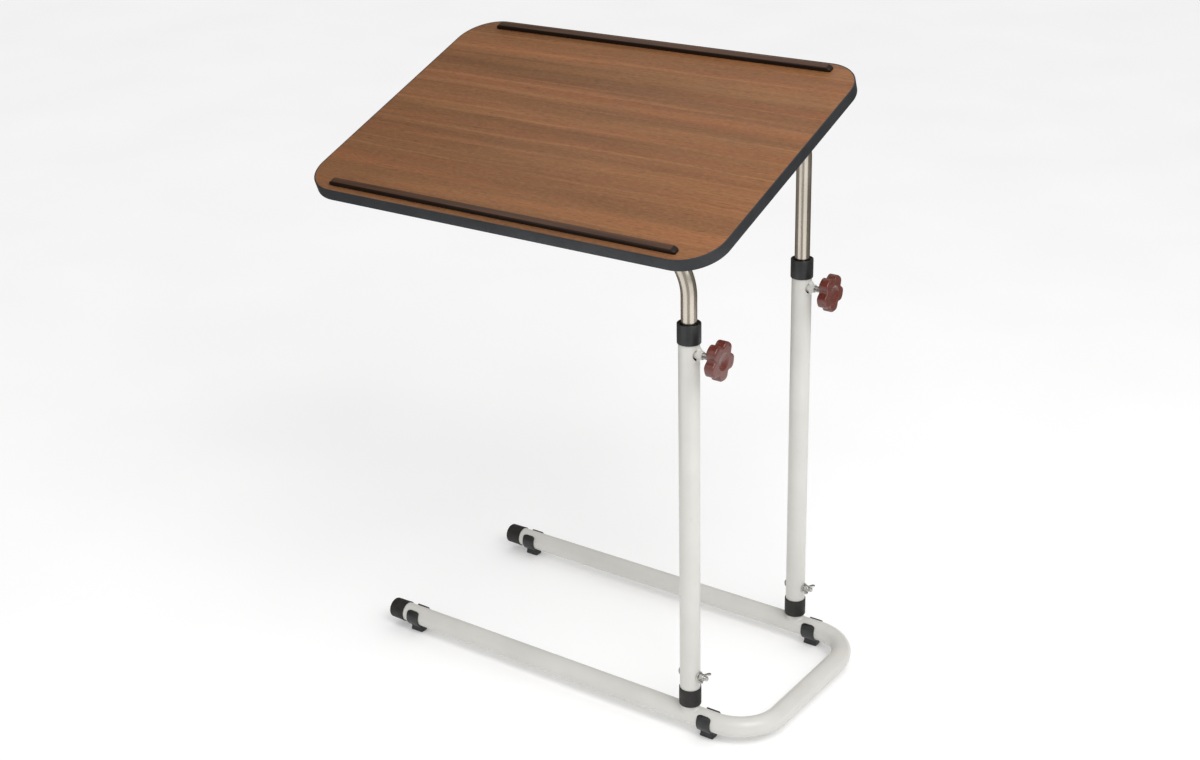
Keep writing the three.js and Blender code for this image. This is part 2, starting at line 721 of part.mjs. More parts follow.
function ridge(y) {
  const half = RIDGE_WIDTH / 2;
  const shape = new THREE.Shape();
  shape.moveTo(-half, RIDGE_BASE);
  shape.lineTo(half, RIDGE_BASE);
  shape.lineTo(half, RIDGE_TOP - RIDGE_CHAMFER);
  shape.lineTo(half - RIDGE_CHAMFER, RIDGE_TOP);
  shape.lineTo(RIDGE_CHAMFER - half, RIDGE_TOP);
  shape.lineTo(-half, RIDGE_TOP - RIDGE_CHAMFER);
  const strip = alongX(shape, RIDGE_LENGTH, 0);
  const slopes = [1, -1].map((side) => endSlope(side));
  const holes = RIDGE_SCREW_X.map((x) =>
    rod(SCREW_CLEARANCE, CORE_TOP, RIDGE_SCREW_TIP + GAP, SCREW_SIDES).translate(x - BOARD_CENTRE_X, 0, 0),
  );
  return cut(strip, [...slopes, ...holes]).translate(BOARD_CENTRE_X, y, 0);
}

// What is cut from a ridge's end: all that lies outside a plane that leans inwards and upwards.
function endSlope(side) {
  const size = 8 * RIDGE_HEIGHT;
  const block = new THREE.BoxGeometry(size, size, size).translate(size / 2, 0, 0);
  block.rotateY(RIDGE_END_ANGLE - Math.PI / 2);
  if (side < 0) block.rotateZ(Math.PI);
  const footHeight = BOARD_TOP + 1;
  return block.translate((side * RIDGE_LENGTH) / 2, 0, footHeight);
}

// The opening in the laminate that a ridge is let into.
function ridgeGroove({ y }) {
  const block = new THREE.BoxGeometry(RIDGE_LENGTH + 2 * GAP, RIDGE_WIDTH + 2 * GAP, RIDGE_HEIGHT);
  return block.translate(BOARD_CENTRE_X, y, BOARD_TOP);
}

const coreHoles = [
  ...clipScrewPlaces.map((place) => clipScrewHole(place, 0, BOARD_UNDERSIDE + CLIP_SCREW_DEPTH + GAP)),
  ...ridgeScrewPlaces.map((place) => ridgeScrewHole(place, BOARD_TOP + 1)),
];
const grooves = ridgeCentres.map(ridgeGroove);
const core = cut(sheet(INNER_TRIM, CORE_BOTTOM, CORE_TOP), coreHoles);
const topFace = cut(sheet(INNER_TRIM, CORE_TOP + GAP, BOARD_TOP), grooves);
const underFace = cut(sheet(INNER_TRIM, BOARD_UNDERSIDE, CORE_BOTTOM - GAP), coreHoles);

piece(top, "board_core", core, chipboard);
piece(top, "top_laminate", topFace, wood_laminate);
piece(top, "backing_laminate", underFace, backing_laminate);
piece(top, "edge_band", edgeBand(), edge_plastic);
for (const { side, y } of ridgeCentres) {
  piece(top, `ridge_${side}`, ridge(y), ridge_wood);
}
for (const shape of clips) {
  CLIP_X.forEach((x, i) => piece(top, `arm_clip_${shape.name}_${i + 1}`, clip(shape, x), zinc));
}
for (const place of clipScrewPlaces) {
  piece(top, place.name, clipScrew(place), zinc);
}
for (const place of ridgeScrewPlaces) {
  piece(top, place.name, ridgeScrew(place), zinc);
}

// The frame's origin is on the floor, under the middle of the table.
const extent = new THREE.Box3().setFromObject(table);
const middle = extent.getCenter(new THREE.Vector3());
table.position.set(-middle.x, -middle.y, 0);

export default table;
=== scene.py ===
"""The looks of an overbed table: a tilting woodgrain top on two telescopic legs and a U-shaped base.

Metres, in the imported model's frame. X runs along the feet, Y from the front leg to the back leg.
"""

import json
import math

import bmesh
import bpy
from mathutils import Matrix, Vector


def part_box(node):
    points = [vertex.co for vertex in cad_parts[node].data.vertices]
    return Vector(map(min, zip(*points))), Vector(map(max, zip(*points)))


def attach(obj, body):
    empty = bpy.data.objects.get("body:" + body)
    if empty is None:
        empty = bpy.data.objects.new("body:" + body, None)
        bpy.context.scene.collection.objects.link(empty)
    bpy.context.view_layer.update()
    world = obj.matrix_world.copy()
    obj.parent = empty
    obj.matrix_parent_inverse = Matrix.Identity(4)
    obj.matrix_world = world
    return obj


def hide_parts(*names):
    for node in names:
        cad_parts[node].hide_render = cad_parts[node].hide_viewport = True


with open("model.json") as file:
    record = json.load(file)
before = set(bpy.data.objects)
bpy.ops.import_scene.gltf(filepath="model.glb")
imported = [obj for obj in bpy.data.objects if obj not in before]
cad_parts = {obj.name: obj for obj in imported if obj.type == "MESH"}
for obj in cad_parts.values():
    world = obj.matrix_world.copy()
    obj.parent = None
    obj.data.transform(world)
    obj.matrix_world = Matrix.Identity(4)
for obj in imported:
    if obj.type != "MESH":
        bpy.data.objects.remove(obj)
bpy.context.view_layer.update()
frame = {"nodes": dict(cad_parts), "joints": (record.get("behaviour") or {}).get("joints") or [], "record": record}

MM = 0.001
X = Vector((1, 0, 0))
Y = Vector((0, 1, 0))
Z = Vector((0, 0, 1))
SIDES = ("front", "back")

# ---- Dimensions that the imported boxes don't give ----
TUBE_R = 12.7 * MM
ARM_R = 9.5 * MM
BASE_BEND_R = 56 * MM
ARM_BEND_R = 60 * MM
TUBE_SIDES = 64
BEND_STEPS = 28


def low(node):
    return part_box(node)[0]


def high(node):
    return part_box(node)[1]


def centre(node):
    return (low(node) + high(node)) / 2


# ---- The top's own frame: its origin is on the tilt's axis, and its z is square to the board ----
tilt_joint = next(joint for joint in frame["joints"] if joint["name"] == "tilt")
TILT = -math.radians(tilt_joint["range_deg"][0])
TOP_ORIGIN = Vector(tilt_joint["pos_m"])
TOP = Matrix.Translation(TOP_ORIGIN) @ Matrix.Rotation(TILT, 4, "X")
INTO_TOP = TOP.inverted()


def local_box(node):
    """A tabletop node's lowest and highest corner in the top's own frame."""
    corners = [INTO_TOP @ vertex.co for vertex in frame["nodes"][node].data.vertices]
    lowest = Vector([min(corner[i] for corner in corners) for i in range(3)])
    highest = Vector([max(corner[i] for corner in corners) for i in range(3)])
    return lowest, highest


BOARD_LOW, BOARD_HIGH = local_box("edge_band")
BOARD_MIDDLE = (BOARD_LOW + BOARD_HIGH) / 2
RIDGE_HEIGHT = 6 * MM


# ---- Materials ----
def srgb(red, green, blue):
    """A colour given as 0 to 255 sRGB, as the linear RGBA that a node wants."""
    channels = [channel / 255 for channel in (red, green, blue)]
    linear = [c / 12.92 if c < 0.04045 else ((c + 0.055) / 1.055) ** 2.4 for c in channels]
    return (*linear, 1)


class Finish:
    """A material in the making. Its methods add a node and return the socket that it feeds."""

    def __init__(self, name):
        self.material = bpy.data.materials.new(name)
        self.material.use_nodes = True
        self.tree = self.material.node_tree
        self.surface = self.tree.nodes["Principled BSDF"]

    def feed(self, socket, value):
        if isinstance(value, bpy.types.NodeSocket):
            self.tree.links.new(value, socket)
        else:
            socket.default_value = value

    def node(self, kind, inputs, **settings):
        made = self.tree.nodes.new(kind)
        for name, value in settings.items():
            setattr(made, name, value)
        for name, value in inputs.items():
            self.feed(made.inputs[name], value)
        return made

    def set(self, **inputs):
        for name, value in inputs.items():
            self.feed(self.surface.inputs[name.replace("_", " ")], value)

    def place(self):
        return self.node("ShaderNodeTexCoord", {}).outputs["Object"]

    def tube_place(self):
        """Round a tube (x and y) and along it (z), in metres: see sweep()."""
        return self.node("ShaderNodeAttribute", {}, attribute_name="along_tube").outputs["Vector"]

    def scaled(self, place, x, y, z):
        return self.node("ShaderNodeMapping", {"Vector": place, "Scale": (x, y, z)}).outputs[0]

    def noise(self, place, scale, detail=2.0, roughness=0.5, distortion=0.0):
        inputs = {
            "Vector": place,
            "Scale": scale,
            "Detail": detail,
            "Roughness": roughness,
            "Distortion": distortion,
        }
        return self.node("ShaderNodeTexNoise", inputs).outputs["Fac"]

    def between(self, value, start, end, low=0.0, high=1.0):
        """value's span from start to end, spread over low to high."""
        inputs = {"Value": value, "From Min": start, "From Max": end, "To Min": low, "To Max": high}
        return self.node("ShaderNodeMapRange", inputs).outputs[0]

    def math(self, operation, first, second):
        made = self.node("ShaderNodeMath", {}, operation=operation)
        self.feed(made.inputs[0], first)
        self.feed(made.inputs[1], second)
        return made.outputs[0]

    def mix(self, factor, first, second, blend="MIX"):
        made = self.node("ShaderNodeMix", {}, data_type="RGBA", blend_type=blend)
        self.feed(made.inputs[0], factor)
        self.feed(made.inputs[6], first)
        self.feed(made.inputs[7], second)
        return made.outputs[2]

    def bump(self, height, distance, strength):
        inputs = {"Height": height, "Distance": distance, "Strength": strength}
        return self.node("ShaderNodeBump", inputs).outputs[0]


def cream_paint():
    """Off-white powder coat: slightly cloudy, a fine orange peel, and a few rubbed patches."""
    f = Finish("cream_paint")
    place = f.place()
    cloud = f.between(f.noise(place, 14, 3), 0.35, 0.65)
    color = f.mix(cloud, srgb(205, 203, 197), srgb(211, 210, 205))
    rubbed = f.between(f.noise(f.scaled(place, 1, 1, 0.4), 60, 5, 0.65), 0.66, 0.74, 0, 0.35)
    color = f.mix(rubbed, color, srgb(194, 190, 181))
    speck = f.between(f.noise(place, 650, 2), 0.74, 0.78, 0, 0.3)
    color = f.mix(speck, color, srgb(150, 142, 128))
    gloss = f.between(f.noise(place, 45, 4), 0.3, 0.7, 0.3, 0.44)
    peel = f.bump(f.noise(place, 520, 2), 0.00012, 0.35)
    f.set(Base_Color=color, Roughness=gloss, Normal=peel, Coat_Weight=0.25, Coat_Roughness=0.15)
    return f.material


def chrome():
    """Bright plate over drawn tube: faint lines along the tube and a slight cloudiness."""
    f = Finish("chrome")
    place = f.tube_place()
    lines = f.noise(f.scaled(place, 900, 900, 4), 1, 3, 0.6)
    cloud = f.noise(f.scaled(place, 60, 60, 14), 1, 3)
    color = f.mix(f.between(cloud, 0.3, 0.7), srgb(202, 194, 182), srgb(224, 216, 203))
    color = f.mix(f.between(lines, 0.55, 0.8, 0, 0.35), color, srgb(160, 150, 136))
    line_gloss = f.between(lines, 0.3, 0.7, 0.06, 0.12)
    cloud_gloss = f.between(cloud, 0.3, 0.7, 0.08, 0.16)
    gloss = f.math("ADD", line_gloss, cloud_gloss)
    f.set(Base_Color=color, Metallic=1.0, Roughness=gloss, Normal=f.bump(lines, 0.00004, 0.3))
    f.set(Specular_Tint=srgb(150, 140, 126))
    return f.material


def zinc():
    """Zinc plate: cloudy, with cold and warm patches, and dull spots."""
    f = Finish("zinc")
    place = f.place()
    cloud = f.noise(place, 220, 4, 0.6)
    color = f.mix(f.between(cloud, 0.35, 0.65), srgb(186, 188, 188), srgb(216, 213, 205))
    dull = f.between(f.noise(place, 900, 3), 0.6, 0.75, 0, 0.6)
    color = f.mix(dull, color, srgb(134, 130, 122))
    gloss = f.between(cloud, 0.3, 0.7, 0.22, 0.42)
    f.set(Base_Color=color, Metallic=1.0, Roughness=gloss)
    f.set(Normal=f.bump(f.noise(place, 2500, 2), 0.00003, 0.4))
    return f.material


def black_plastic():
    """Black moulded plastic with a fine spark texture and paler, rubbed patches."""
    f = Finish("black_plastic")
    place = f.place()
    cloud = f.between(f.noise(place, 90, 4, 0.6), 0.35, 0.7)
    color = f.mix(cloud, srgb(29, 30, 31), srgb(41, 42, 43))
    scuff = f.between(f.noise(f.scaled(place, 1, 1, 3), 240, 4, 0.7), 0.66, 0.76, 0, 0.4)
    color = f.mix(scuff, color, srgb(92, 91, 89))
    gloss = f.between(f.noise(place, 300, 3), 0.3, 0.7, 0.32, 0.46)
    f.set(Base_Color=color, Roughness=gloss, Normal=f.bump(f.noise(place, 2600, 2), 0.00006, 0.5))
    return f.material


def rubber():
    """Satin black rubber: even, with a dry bloom in broad patches."""
    f = Finish("rubber")
    place = f.place()
    bloom = f.between(f.noise(place, 55, 5, 0.6), 0.4, 0.75)
    color = f.mix(bloom, srgb(33, 32, 31), srgb(48, 46, 44))
    gloss = f.between(f.noise(place, 120, 3), 0.3, 0.7, 0.5, 0.68)
    f.set(Base_Color=color, Roughness=gloss, Specular_IOR_Level=0.35)
    f.set(Normal=f.bump(f.noise(place, 1500, 3), 0.00007, 0.5))
    return f.material


def brown_plastic():
    """Glossy red-brown moulding compound, faintly marbled by its filler."""
    f = Finish("brown_plastic")
    place = f.place()
    marble = f.between(f.noise(place, 130, 6, 0.65, 1.2), 0.3, 0.7)
    color = f.mix(marble, srgb(84, 36, 29), srgb(108, 50, 41))
    grain = f.between(f.noise(place, 1600, 2), 0.62, 0.72, 0, 0.5)
    color = f.mix(grain, color, srgb(146, 90, 78))
    gloss = f.between(f.noise(place, 160, 3), 0.3, 0.7, 0.2, 0.32)
    f.set(Base_Color=color, Roughness=gloss, Specular_IOR_Level=0.55)
    f.set(Coat_Weight=0.35, Coat_Roughness=0.08)
    f.set(Normal=f.bump(f.noise(place, 260, 2), 0.00008, 0.3))
    return f.material


def top_place(f):
    """Places on the board in its own frame, so that the grain follows it as it tilts."""
    shift = INTO_TOP.to_translation()
    inputs = {"Vector": f.place(), "Location": shift, "Rotation": (-TILT, 0, 0)}
    return f.node("ShaderNodeMapping", inputs).outputs[0]


def wood_laminate():
    """Walnut-print laminate: long bands, thin light and dark streaks, grey clouds and short pores."""
    f = Finish("wood_laminate")
    place = top_place(f)
    sway = f.noise(f.scaled(place, 2.4, 7, 0), 1, 2)
    shift = f.node("ShaderNodeCombineXYZ", {"Y": f.between(sway, 0, 1, -0.009, 0.009)}).outputs[0]
    bent = f.node("ShaderNodeVectorMath", {}, operation="ADD")
    f.feed(bent.inputs[0], place)
    f.feed(bent.inputs[1], shift)
    grain = bent.outputs[0]

    band = f.noise(f.scaled(grain, 0.9, 24, 0), 1, 3, 0.55)
    color = f.mix(f.between(band, 0.32, 0.68), srgb(112, 72, 41), srgb(146, 98, 59))
    hue = f.noise(f.scaled(grain, 1.6, 33, 3), 1, 2)
    color = f.mix(f.between(hue, 0.5, 0.68, 0, 0.4), color, srgb(149, 87, 51))
    color = f.mix(f.between(hue, 0.46, 0.32, 0, 0.3), color, srgb(126, 91, 53))
    cloud = f.noise(f.scaled(grain, 4, 30, 9), 1, 3, 0.6)
    color = f.mix(f.between(cloud, 0.56, 0.74, 0, 0.3), color, srgb(110, 81, 59))

    pale = f.noise(f.scaled(grain, 1.3, 150, 5), 1, 2, 0.5)
    color = f.mix(f.between(pale, 0.56, 0.7, 0, 0.42), color, srgb(164, 113, 71))
    dark = f.noise(f.scaled(grain, 1.8, 120, 0), 1, 3, 0.55)
    color = f.mix(f.between(dark, 0.55, 0.75, 0, 0.32), color, srgb(82, 53, 32))
    fibre = f.noise(f.scaled(grain, 12, 760, 0), 1, 3, 0.6)
    color = f.mix(f.between(fibre, 0.4, 0.7, 0, 0.3), color, srgb(86, 54, 32))
    ripple = f.noise(f.scaled(grain, 130, 620, 0), 1, 2, 0.6, 0.6)
    color = f.mix(f.between(ripple, 0.5, 0.7, 0, 0.26), color, srgb(76, 49, 31))
    color = f.mix(f.between(ripple, 0.48, 0.3, 0, 0.18), color, srgb(170, 122, 82))
    pore = f.between(f.noise(f.scaled(grain, 60, 1500, 7), 1, 1), 0.64, 0.7)
    color = f.mix(f.math("MULTIPLY", pore, 0.5), color, srgb(58, 37, 24))
    gloss = f.between(f.noise(place, 30, 4), 0.3, 0.7, 0.42, 0.52)
    relief = f.bump(f.math("SUBTRACT", fibre, pore), 0.00006, 0.5)
    f.set(Base_Color=color, Roughness=gloss, Normal=relief, Specular_IOR_Level=0.3)
    return f.material


def backing_laminate():
    """Plain brown balancing sheet, matt, with a faint fibre pattern."""
    f = Finish("backing_laminate")
    place = top_place(f)
    fibre = f.noise(f.scaled(place, 40, 260, 0), 1, 4, 0.65)
    color = f.mix(f.between(fibre, 0.3, 0.7), srgb(74, 54, 42), srgb(98, 74, 58))
    blotch = f.between(f.noise(place, 12, 4), 0.5, 0.75, 0, 0.4)
    color = f.mix(blotch, color, srgb(64, 46, 36))
    f.set(Base_Color=color, Roughness=f.between(fibre, 0.3, 0.7, 0.52, 0.66))
    f.set(Normal=f.bump(f.noise(place, 900, 3), 0.00008, 0.5))
    return f.material


def chipboard():
    """Pressed chips, seen only at a screw hole."""
    f = Finish("chipboard")
    chips = f.node("ShaderNodeTexVoronoi", {"Vector": f.place(), "Scale": 420.0}).outputs["Color"]
    color = f.mix(0.35, srgb(176, 146, 104), chips, "SOFT_LIGHT")
    f.set(Base_Color=color, Roughness=0.85)
    return f.material


def edge_plastic():
    """Dark grey edging: satin, with a fine grain and small paler rubs."""
    f = Finish("edge_plastic")
    place = f.place()
    cloud = f.between(f.noise(place, 26, 4), 0.35, 0.7)
    color = f.mix(cloud, srgb(38, 40, 43), srgb(47, 49, 52))
    rub = f.between(f.noise(f.scaled(top_place(f), 0.5, 1, 3), 150, 5, 0.7), 0.64, 0.76, 0, 0.4)
    color = f.mix(rub, color, srgb(84, 84, 84))
    gloss = f.between(f.noise(place, 180, 3), 0.3, 0.7, 0.4, 0.54)
    f.set(Base_Color=color, Roughness=gloss, Specular_IOR_Level=0.3)
    f.set(Normal=f.bump(f.noise(place, 2200, 2), 0.00004, 0.5))
    return f.material


def ridge_wood():
    """Dark stained hardwood, with the strip's top painted paler than its sides as a painted highlight where light
    falls on it.
    """
    f = Finish("ridge_wood")
    place = top_place(f)
    grain = f.noise(f.scaled(place, 9, 420, 420), 1, 4, 0.6)
    side = f.mix(f.between(grain, 0.3, 0.7), srgb(17, 10, 7), srgb(30, 18, 12))
    # The crown colour is a painted highlight: the top of the strip is painted paler where light falls on it, while
    # the sides keep the dark stain.
    painted_lit_crown = f.mix(f.between(grain, 0.3, 0.7), srgb(52, 32, 20), srgb(82, 54, 36))
    height = f.node("ShaderNodeSeparateXYZ", {"Vector": place}).outputs["Z"]
    crest = BOARD_HIGH.z + RIDGE_HEIGHT
    color = f.mix(f.between(height, crest - 0.45 * MM, crest - 0.05 * MM), side, painted_lit_crown)
    pore = f.between(f.noise(f.scaled(place, 60, 1300, 1300), 1, 2), 0.62, 0.72)
    color = f.mix(f.math("MULTIPLY", pore, 0.6), color, srgb(18, 11, 8))
    gloss = f.between(grain, 0.3, 0.7, 0.3, 0.42)
    f.set(Base_Color=color, Roughness=gloss, Specular_IOR_Level=0.25)
    f.set(Normal=f.bump(grain, 0.00008, 0.4))
    return f.material


COATINGS = (cream_paint, chrome, zinc)
POLYMERS = (black_plastic, rubber, brown_plastic, edge_plastic)
WOODS = (wood_laminate, backing_laminate, chipboard, ridge_wood)
MATERIALS = {make.__name__: make() for make in COATINGS + POLYMERS + WOODS}


# ---- Mesh building: a shape is a pair of vertices and faces ----
def loft(rings, looped=False):
    """A skin over rings of points. An open run of rings is closed with a face at each end."""
    count = len(rings[0])
    vertices = [Vector(point) for ring in rings for point in ring]
    faces = []
    for i in range(len(rings) if looped else len(rings) - 1):
        here = i * count
        there = (i + 1) % len(rings) * count
        for k in range(count):
            beside = (k + 1) % count
            faces.append((here + k, here + beside, there + beside, there + k))
    if not looped:
        faces.append(tuple(range(count)))
        faces.append(tuple(range(len(vertices) - count, len(vertices))))
    return vertices, faces


def joined(*shapes):
    """Several shapes as one."""
    vertices = []
    faces = []
    for more, more_faces in shapes:
        faces += [tuple(len(vertices) + k for k in face) for face in more_faces]
        vertices += more
    return vertices, faces


def moved(shape, matrix):
    return [matrix @ vertex for vertex in shape[0]], shape[1]


def frame_at(origin, axis):
    """A matrix whose z is the axis and whose origin is the given point."""
    return Matrix.Translation(origin) @ axis.to_track_quat("Z", "Y").to_matrix().to_4x4()


def rectangle(half_x, half_y, radius=0.0):
    """The corners (x, y, radius) of a rectangle about the origin, as rounded() wants them."""
    signs = ((-1, -1), (1, -1), (1, 1), (-1, 1))
    return [(half_x * right, half_y * up, radius) for right, up in signs]


def rounded(corners, steps=5, closed=False):
    """An outline through corners (x, y, radius). A corner with a radius becomes an arc."""
    outline = []
    for i, (x, y, radius) in enumerate(corners):
        corner = Vector((x, y))
        at_end = not closed and i in (0, len(corners) - 1)
        if radius == 0 or at_end:
            outline.append(corner)
            continue
        before = (Vector(corners[i - 1][:2]) - corner).normalized()
        after = (Vector(corners[(i + 1) % len(corners)][:2]) - corner).normalized()
        half = before.angle(after) / 2
        middle = corner + (before + after).normalized() * radius / math.sin(half)
        start = corner + before * radius / math.tan(half) - middle
        end = corner + after * radius / math.tan(half) - middle
        sweep_angle = math.pi - 2 * half
        for step in range(steps + 1):
            t = step / steps
            first = math.sin((1 - t) * sweep_angle) / math.sin(sweep_angle)
            second = math.sin(t * sweep_angle) / math.sin(sweep_angle)
            outline.append(middle + start * first + end * second)
    return outline


def turned(profile, sides=TUBE_SIDES, ring=False):
    """A profile of (radius, height) points turned about z. A ring's profile is a closed outline."""
    rings = []
    for radius, height in profile:
        angles = [2 * math.pi * k / sides for k in range(sides)]
        rings.append([(radius * math.cos(a), radius * math.sin(a), height) for a in angles])
    return loft(rings, looped=ring)


def turned_ring(corners, steps, sides=TUBE_SIDES):
    """A ring turned about z, from the corners of its section."""
    return turned(rounded(corners, steps, closed=True), sides, ring=True)


def slab(outline, thickness, edge, steps=3):
    """A flat plate of an outline in xy, centred on z = 0, with rounded rims."""
    count = len(outline)
    inward = []
    for k in range(count):
        along = (outline[(k + 1) % count] - outline[k - 1]).normalized()
        inward.append(Vector((-along.y, along.x)))
    area = sum(outline[k - 1].cross(outline[k]) for k in range(count))
    turn = 1 if area > 0 else -1
    levels = []
    for step in range(steps + 1):
        angle = math.pi / 2 * step / steps
        levels.append((edge * (1 - math.sin(angle)), thickness / 2 - edge + edge * math.cos(angle)))
    levels += [(inset, -height) for inset, height in reversed(levels)]
    rings = []
    for inset, height in levels:
        trimmed = [point + turn * inset * normal for point, normal in zip(outline, inward)]
        rings.append([(*point, height) for point in trimmed])
    return loft(rings)


def carved(shape, cutter):
    """shape without what cutter fills."""
    first = mesh_object("carved", shape)
    second = mesh_object("cutter", cutter)
    boolean = first.modifiers.new("cut", "BOOLEAN")
    boolean.operation = "DIFFERENCE"
    boolean.solver = "EXACT"
    boolean.object = second
    result = first.evaluated_get(bpy.context.evaluated_depsgraph_get()).to_mesh()
    vertices = [vertex.co.copy() for vertex in result.vertices]
    faces = [tuple(polygon.vertices) for polygon in result.polygons]
    for done in (first, second):
        mesh = done.data
        bpy.data.objects.remove(done)
        bpy.data.meshes.remove(mesh)
    return vertices, faces


def mesh_object(name, shape):
    """A new object of a shape, with its faces pointing out."""
    vertices, faces = shape
    mesh = bpy.data.meshes.new(name)
    mesh.from_pydata(vertices, [], faces)
    work = bmesh.new()
    work.from_mesh(mesh)
    bmesh.ops.recalc_face_normals(work, faces=work.faces)
    work.to_mesh(mesh)
    work.free()
    made = bpy.data.objects.new(name, mesh)
    bpy.context.scene.collection.objects.link(made)
    return made


def piece(name, shape, slot, body, node=None, sharp=32.0, along=None):
    """Adds a shape to the scene as a piece that rides on a body and may stand for a CAD node."""
    made = mesh_object(name, shape)
    made.data.materials.append(MATERIALS[slot])
    made.data.polygons.foreach_set("use_smooth", [True] * len(made.data.polygons))
    made.data.set_sharp_from_angle(angle=math.radians(sharp))
    if along is not None:
        attribute = made.data.attributes.new("along_tube", "FLOAT_VECTOR", "POINT")
        attribute.data.foreach_set("vector", [value for place in along for value in place])
    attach(made, body)
    if node is not None:
        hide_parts(node)


def stand_in(node, shape, slot, body, **more):
    """Adds the piece that stands for a CAD node."""
    piece(f"{node}_shape", shape, slot, body, node, **more)


# ---- Bent tubes ----
class Path:
    """A tube's axis in one plane: points with directions, built run by run."""

    def __init__(self, start, direction, normal):
        self.normal = normal
        self.points = [(start.copy(), direction.copy())]

    def straight(self, length, steps=1):
        start, direction = self.points[-1]
        for step in range(1, steps + 1):
            self.points.append((start + direction * length * step / steps, direction))
        return self

    def bend(self, radius, angle, steps=BEND_STEPS):
        """Turns about the plane's normal; a negative angle turns the other way."""
        start, direction = self.points[-1]
        inward = self.normal.cross(direction) * math.copysign(1, angle)
        middle = start + inward * radius
        for step in range(1, steps + 1):
            turn = Matrix.Rotation(angle * step / steps, 3, self.normal)
            self.points.append((middle + turn @ (start - middle), turn @ direction))
        return self


def sweep(path, radius, sides=TUBE_SIDES):
    """A tube's skin along a path, and each vertex's place round and along the tube."""
    rings = []
    along = []
    length = 0.0
    before = path.points[0][0]
    for point, direction in path.points:
        length += (point - before).length
        before = point
        across = path.normal.cross(direction)
        ring = []
        for k in range(sides):
            angle = 2 * math.pi * k / sides
            ring.append(point + radius * (math.cos(angle) * path.normal + math.sin(angle) * across))
            along.append((radius * math.cos(angle), radius * math.sin(angle), length))
        rings.append(ring)
    return loft(rings), along


def base_tube():
    corner_low, corner_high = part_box("base_tube")
    foot_z = (corner_low.z + corner_high.z) / 2
    start = Vector((corner_low.x, corner_low.y + TUBE_R, foot_z))
    foot = corner_high.x - TUBE_R - BASE_BEND_R - corner_low.x
    bar = corner_high.y - corner_low.y - 2 * TUBE_R - 2 * BASE_BEND_R
    path = Path(start, X, Z).straight(foot, 24).bend(BASE_BEND_R, math.pi / 2)
    path.straight(bar, 8).bend(BASE_BEND_R, math.pi / 2).straight(foot, 24)
    shape, along = sweep(path, TUBE_R)
    stand_in("base_tube", shape, "cream_paint", "base_frame", along=along)


def support_tube(side):
    node = f"support_tube_{side}"
    corner_low, corner_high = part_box(node)
    start = Vector((corner_high.x - ARM_R, (corner_low.y + corner_high.y) / 2, corner_low.z))
    rise = corner_high.z - ARM_R - ARM_BEND_R - corner_low.z
    arm = corner_high.x - ARM_R - ARM_BEND_R - corner_low.x
    path = Path(start, Z, Y).straight(rise, 16).bend(ARM_BEND_R, -math.pi / 2).straight(arm, 16)
    shape, along = sweep(path, ARM_R)
    stand_in(node, shape, "chrome", f"{side}_support", along=along)


# ---- Feet ----
def end_cap(side):
    """A rubber ferrule: a rounded end, a plain skirt, and a rolled lip where it meets the tube."""
    node = f"end_cap_{side}"
    corner_low, corner_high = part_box(node)
    radius = (corner_high.z - corner_low.z) / 2
    length = corner_high.x - corner_low.x
    bore = TUBE_R + 0.15 * MM
    corners = [
        (4 * MM, 0.5 * MM, 0),
        (radius - 3.2 * MM, 0, 2 * MM),
        (radius - 0.5 * MM, 0.6 * MM, 2.2 * MM),
        (radius - 0.25 * MM, length - 3.4 * MM, 0.6 * MM),
        (radius, length - 2.6 * MM, 0.6 * MM),
        (radius, length, 0.8 * MM),
        (bore, length, 0.4 * MM),
        (bore, 3 * MM, 0),
    ]
    profile = rounded(corners, 6)
    shape = turned(profile)
    origin = Vector((corner_low.x, centre(node).y, centre(node).z))
    stand_in(node, moved(shape, frame_at(origin, X)), "rubber", "base_frame")


GLIDE_WALL = 2.2 * MM
GLIDE_LIP = math.radians(140)  # from straight down to the end of each lip
GLIDE_CORNER = 4.4 * MM


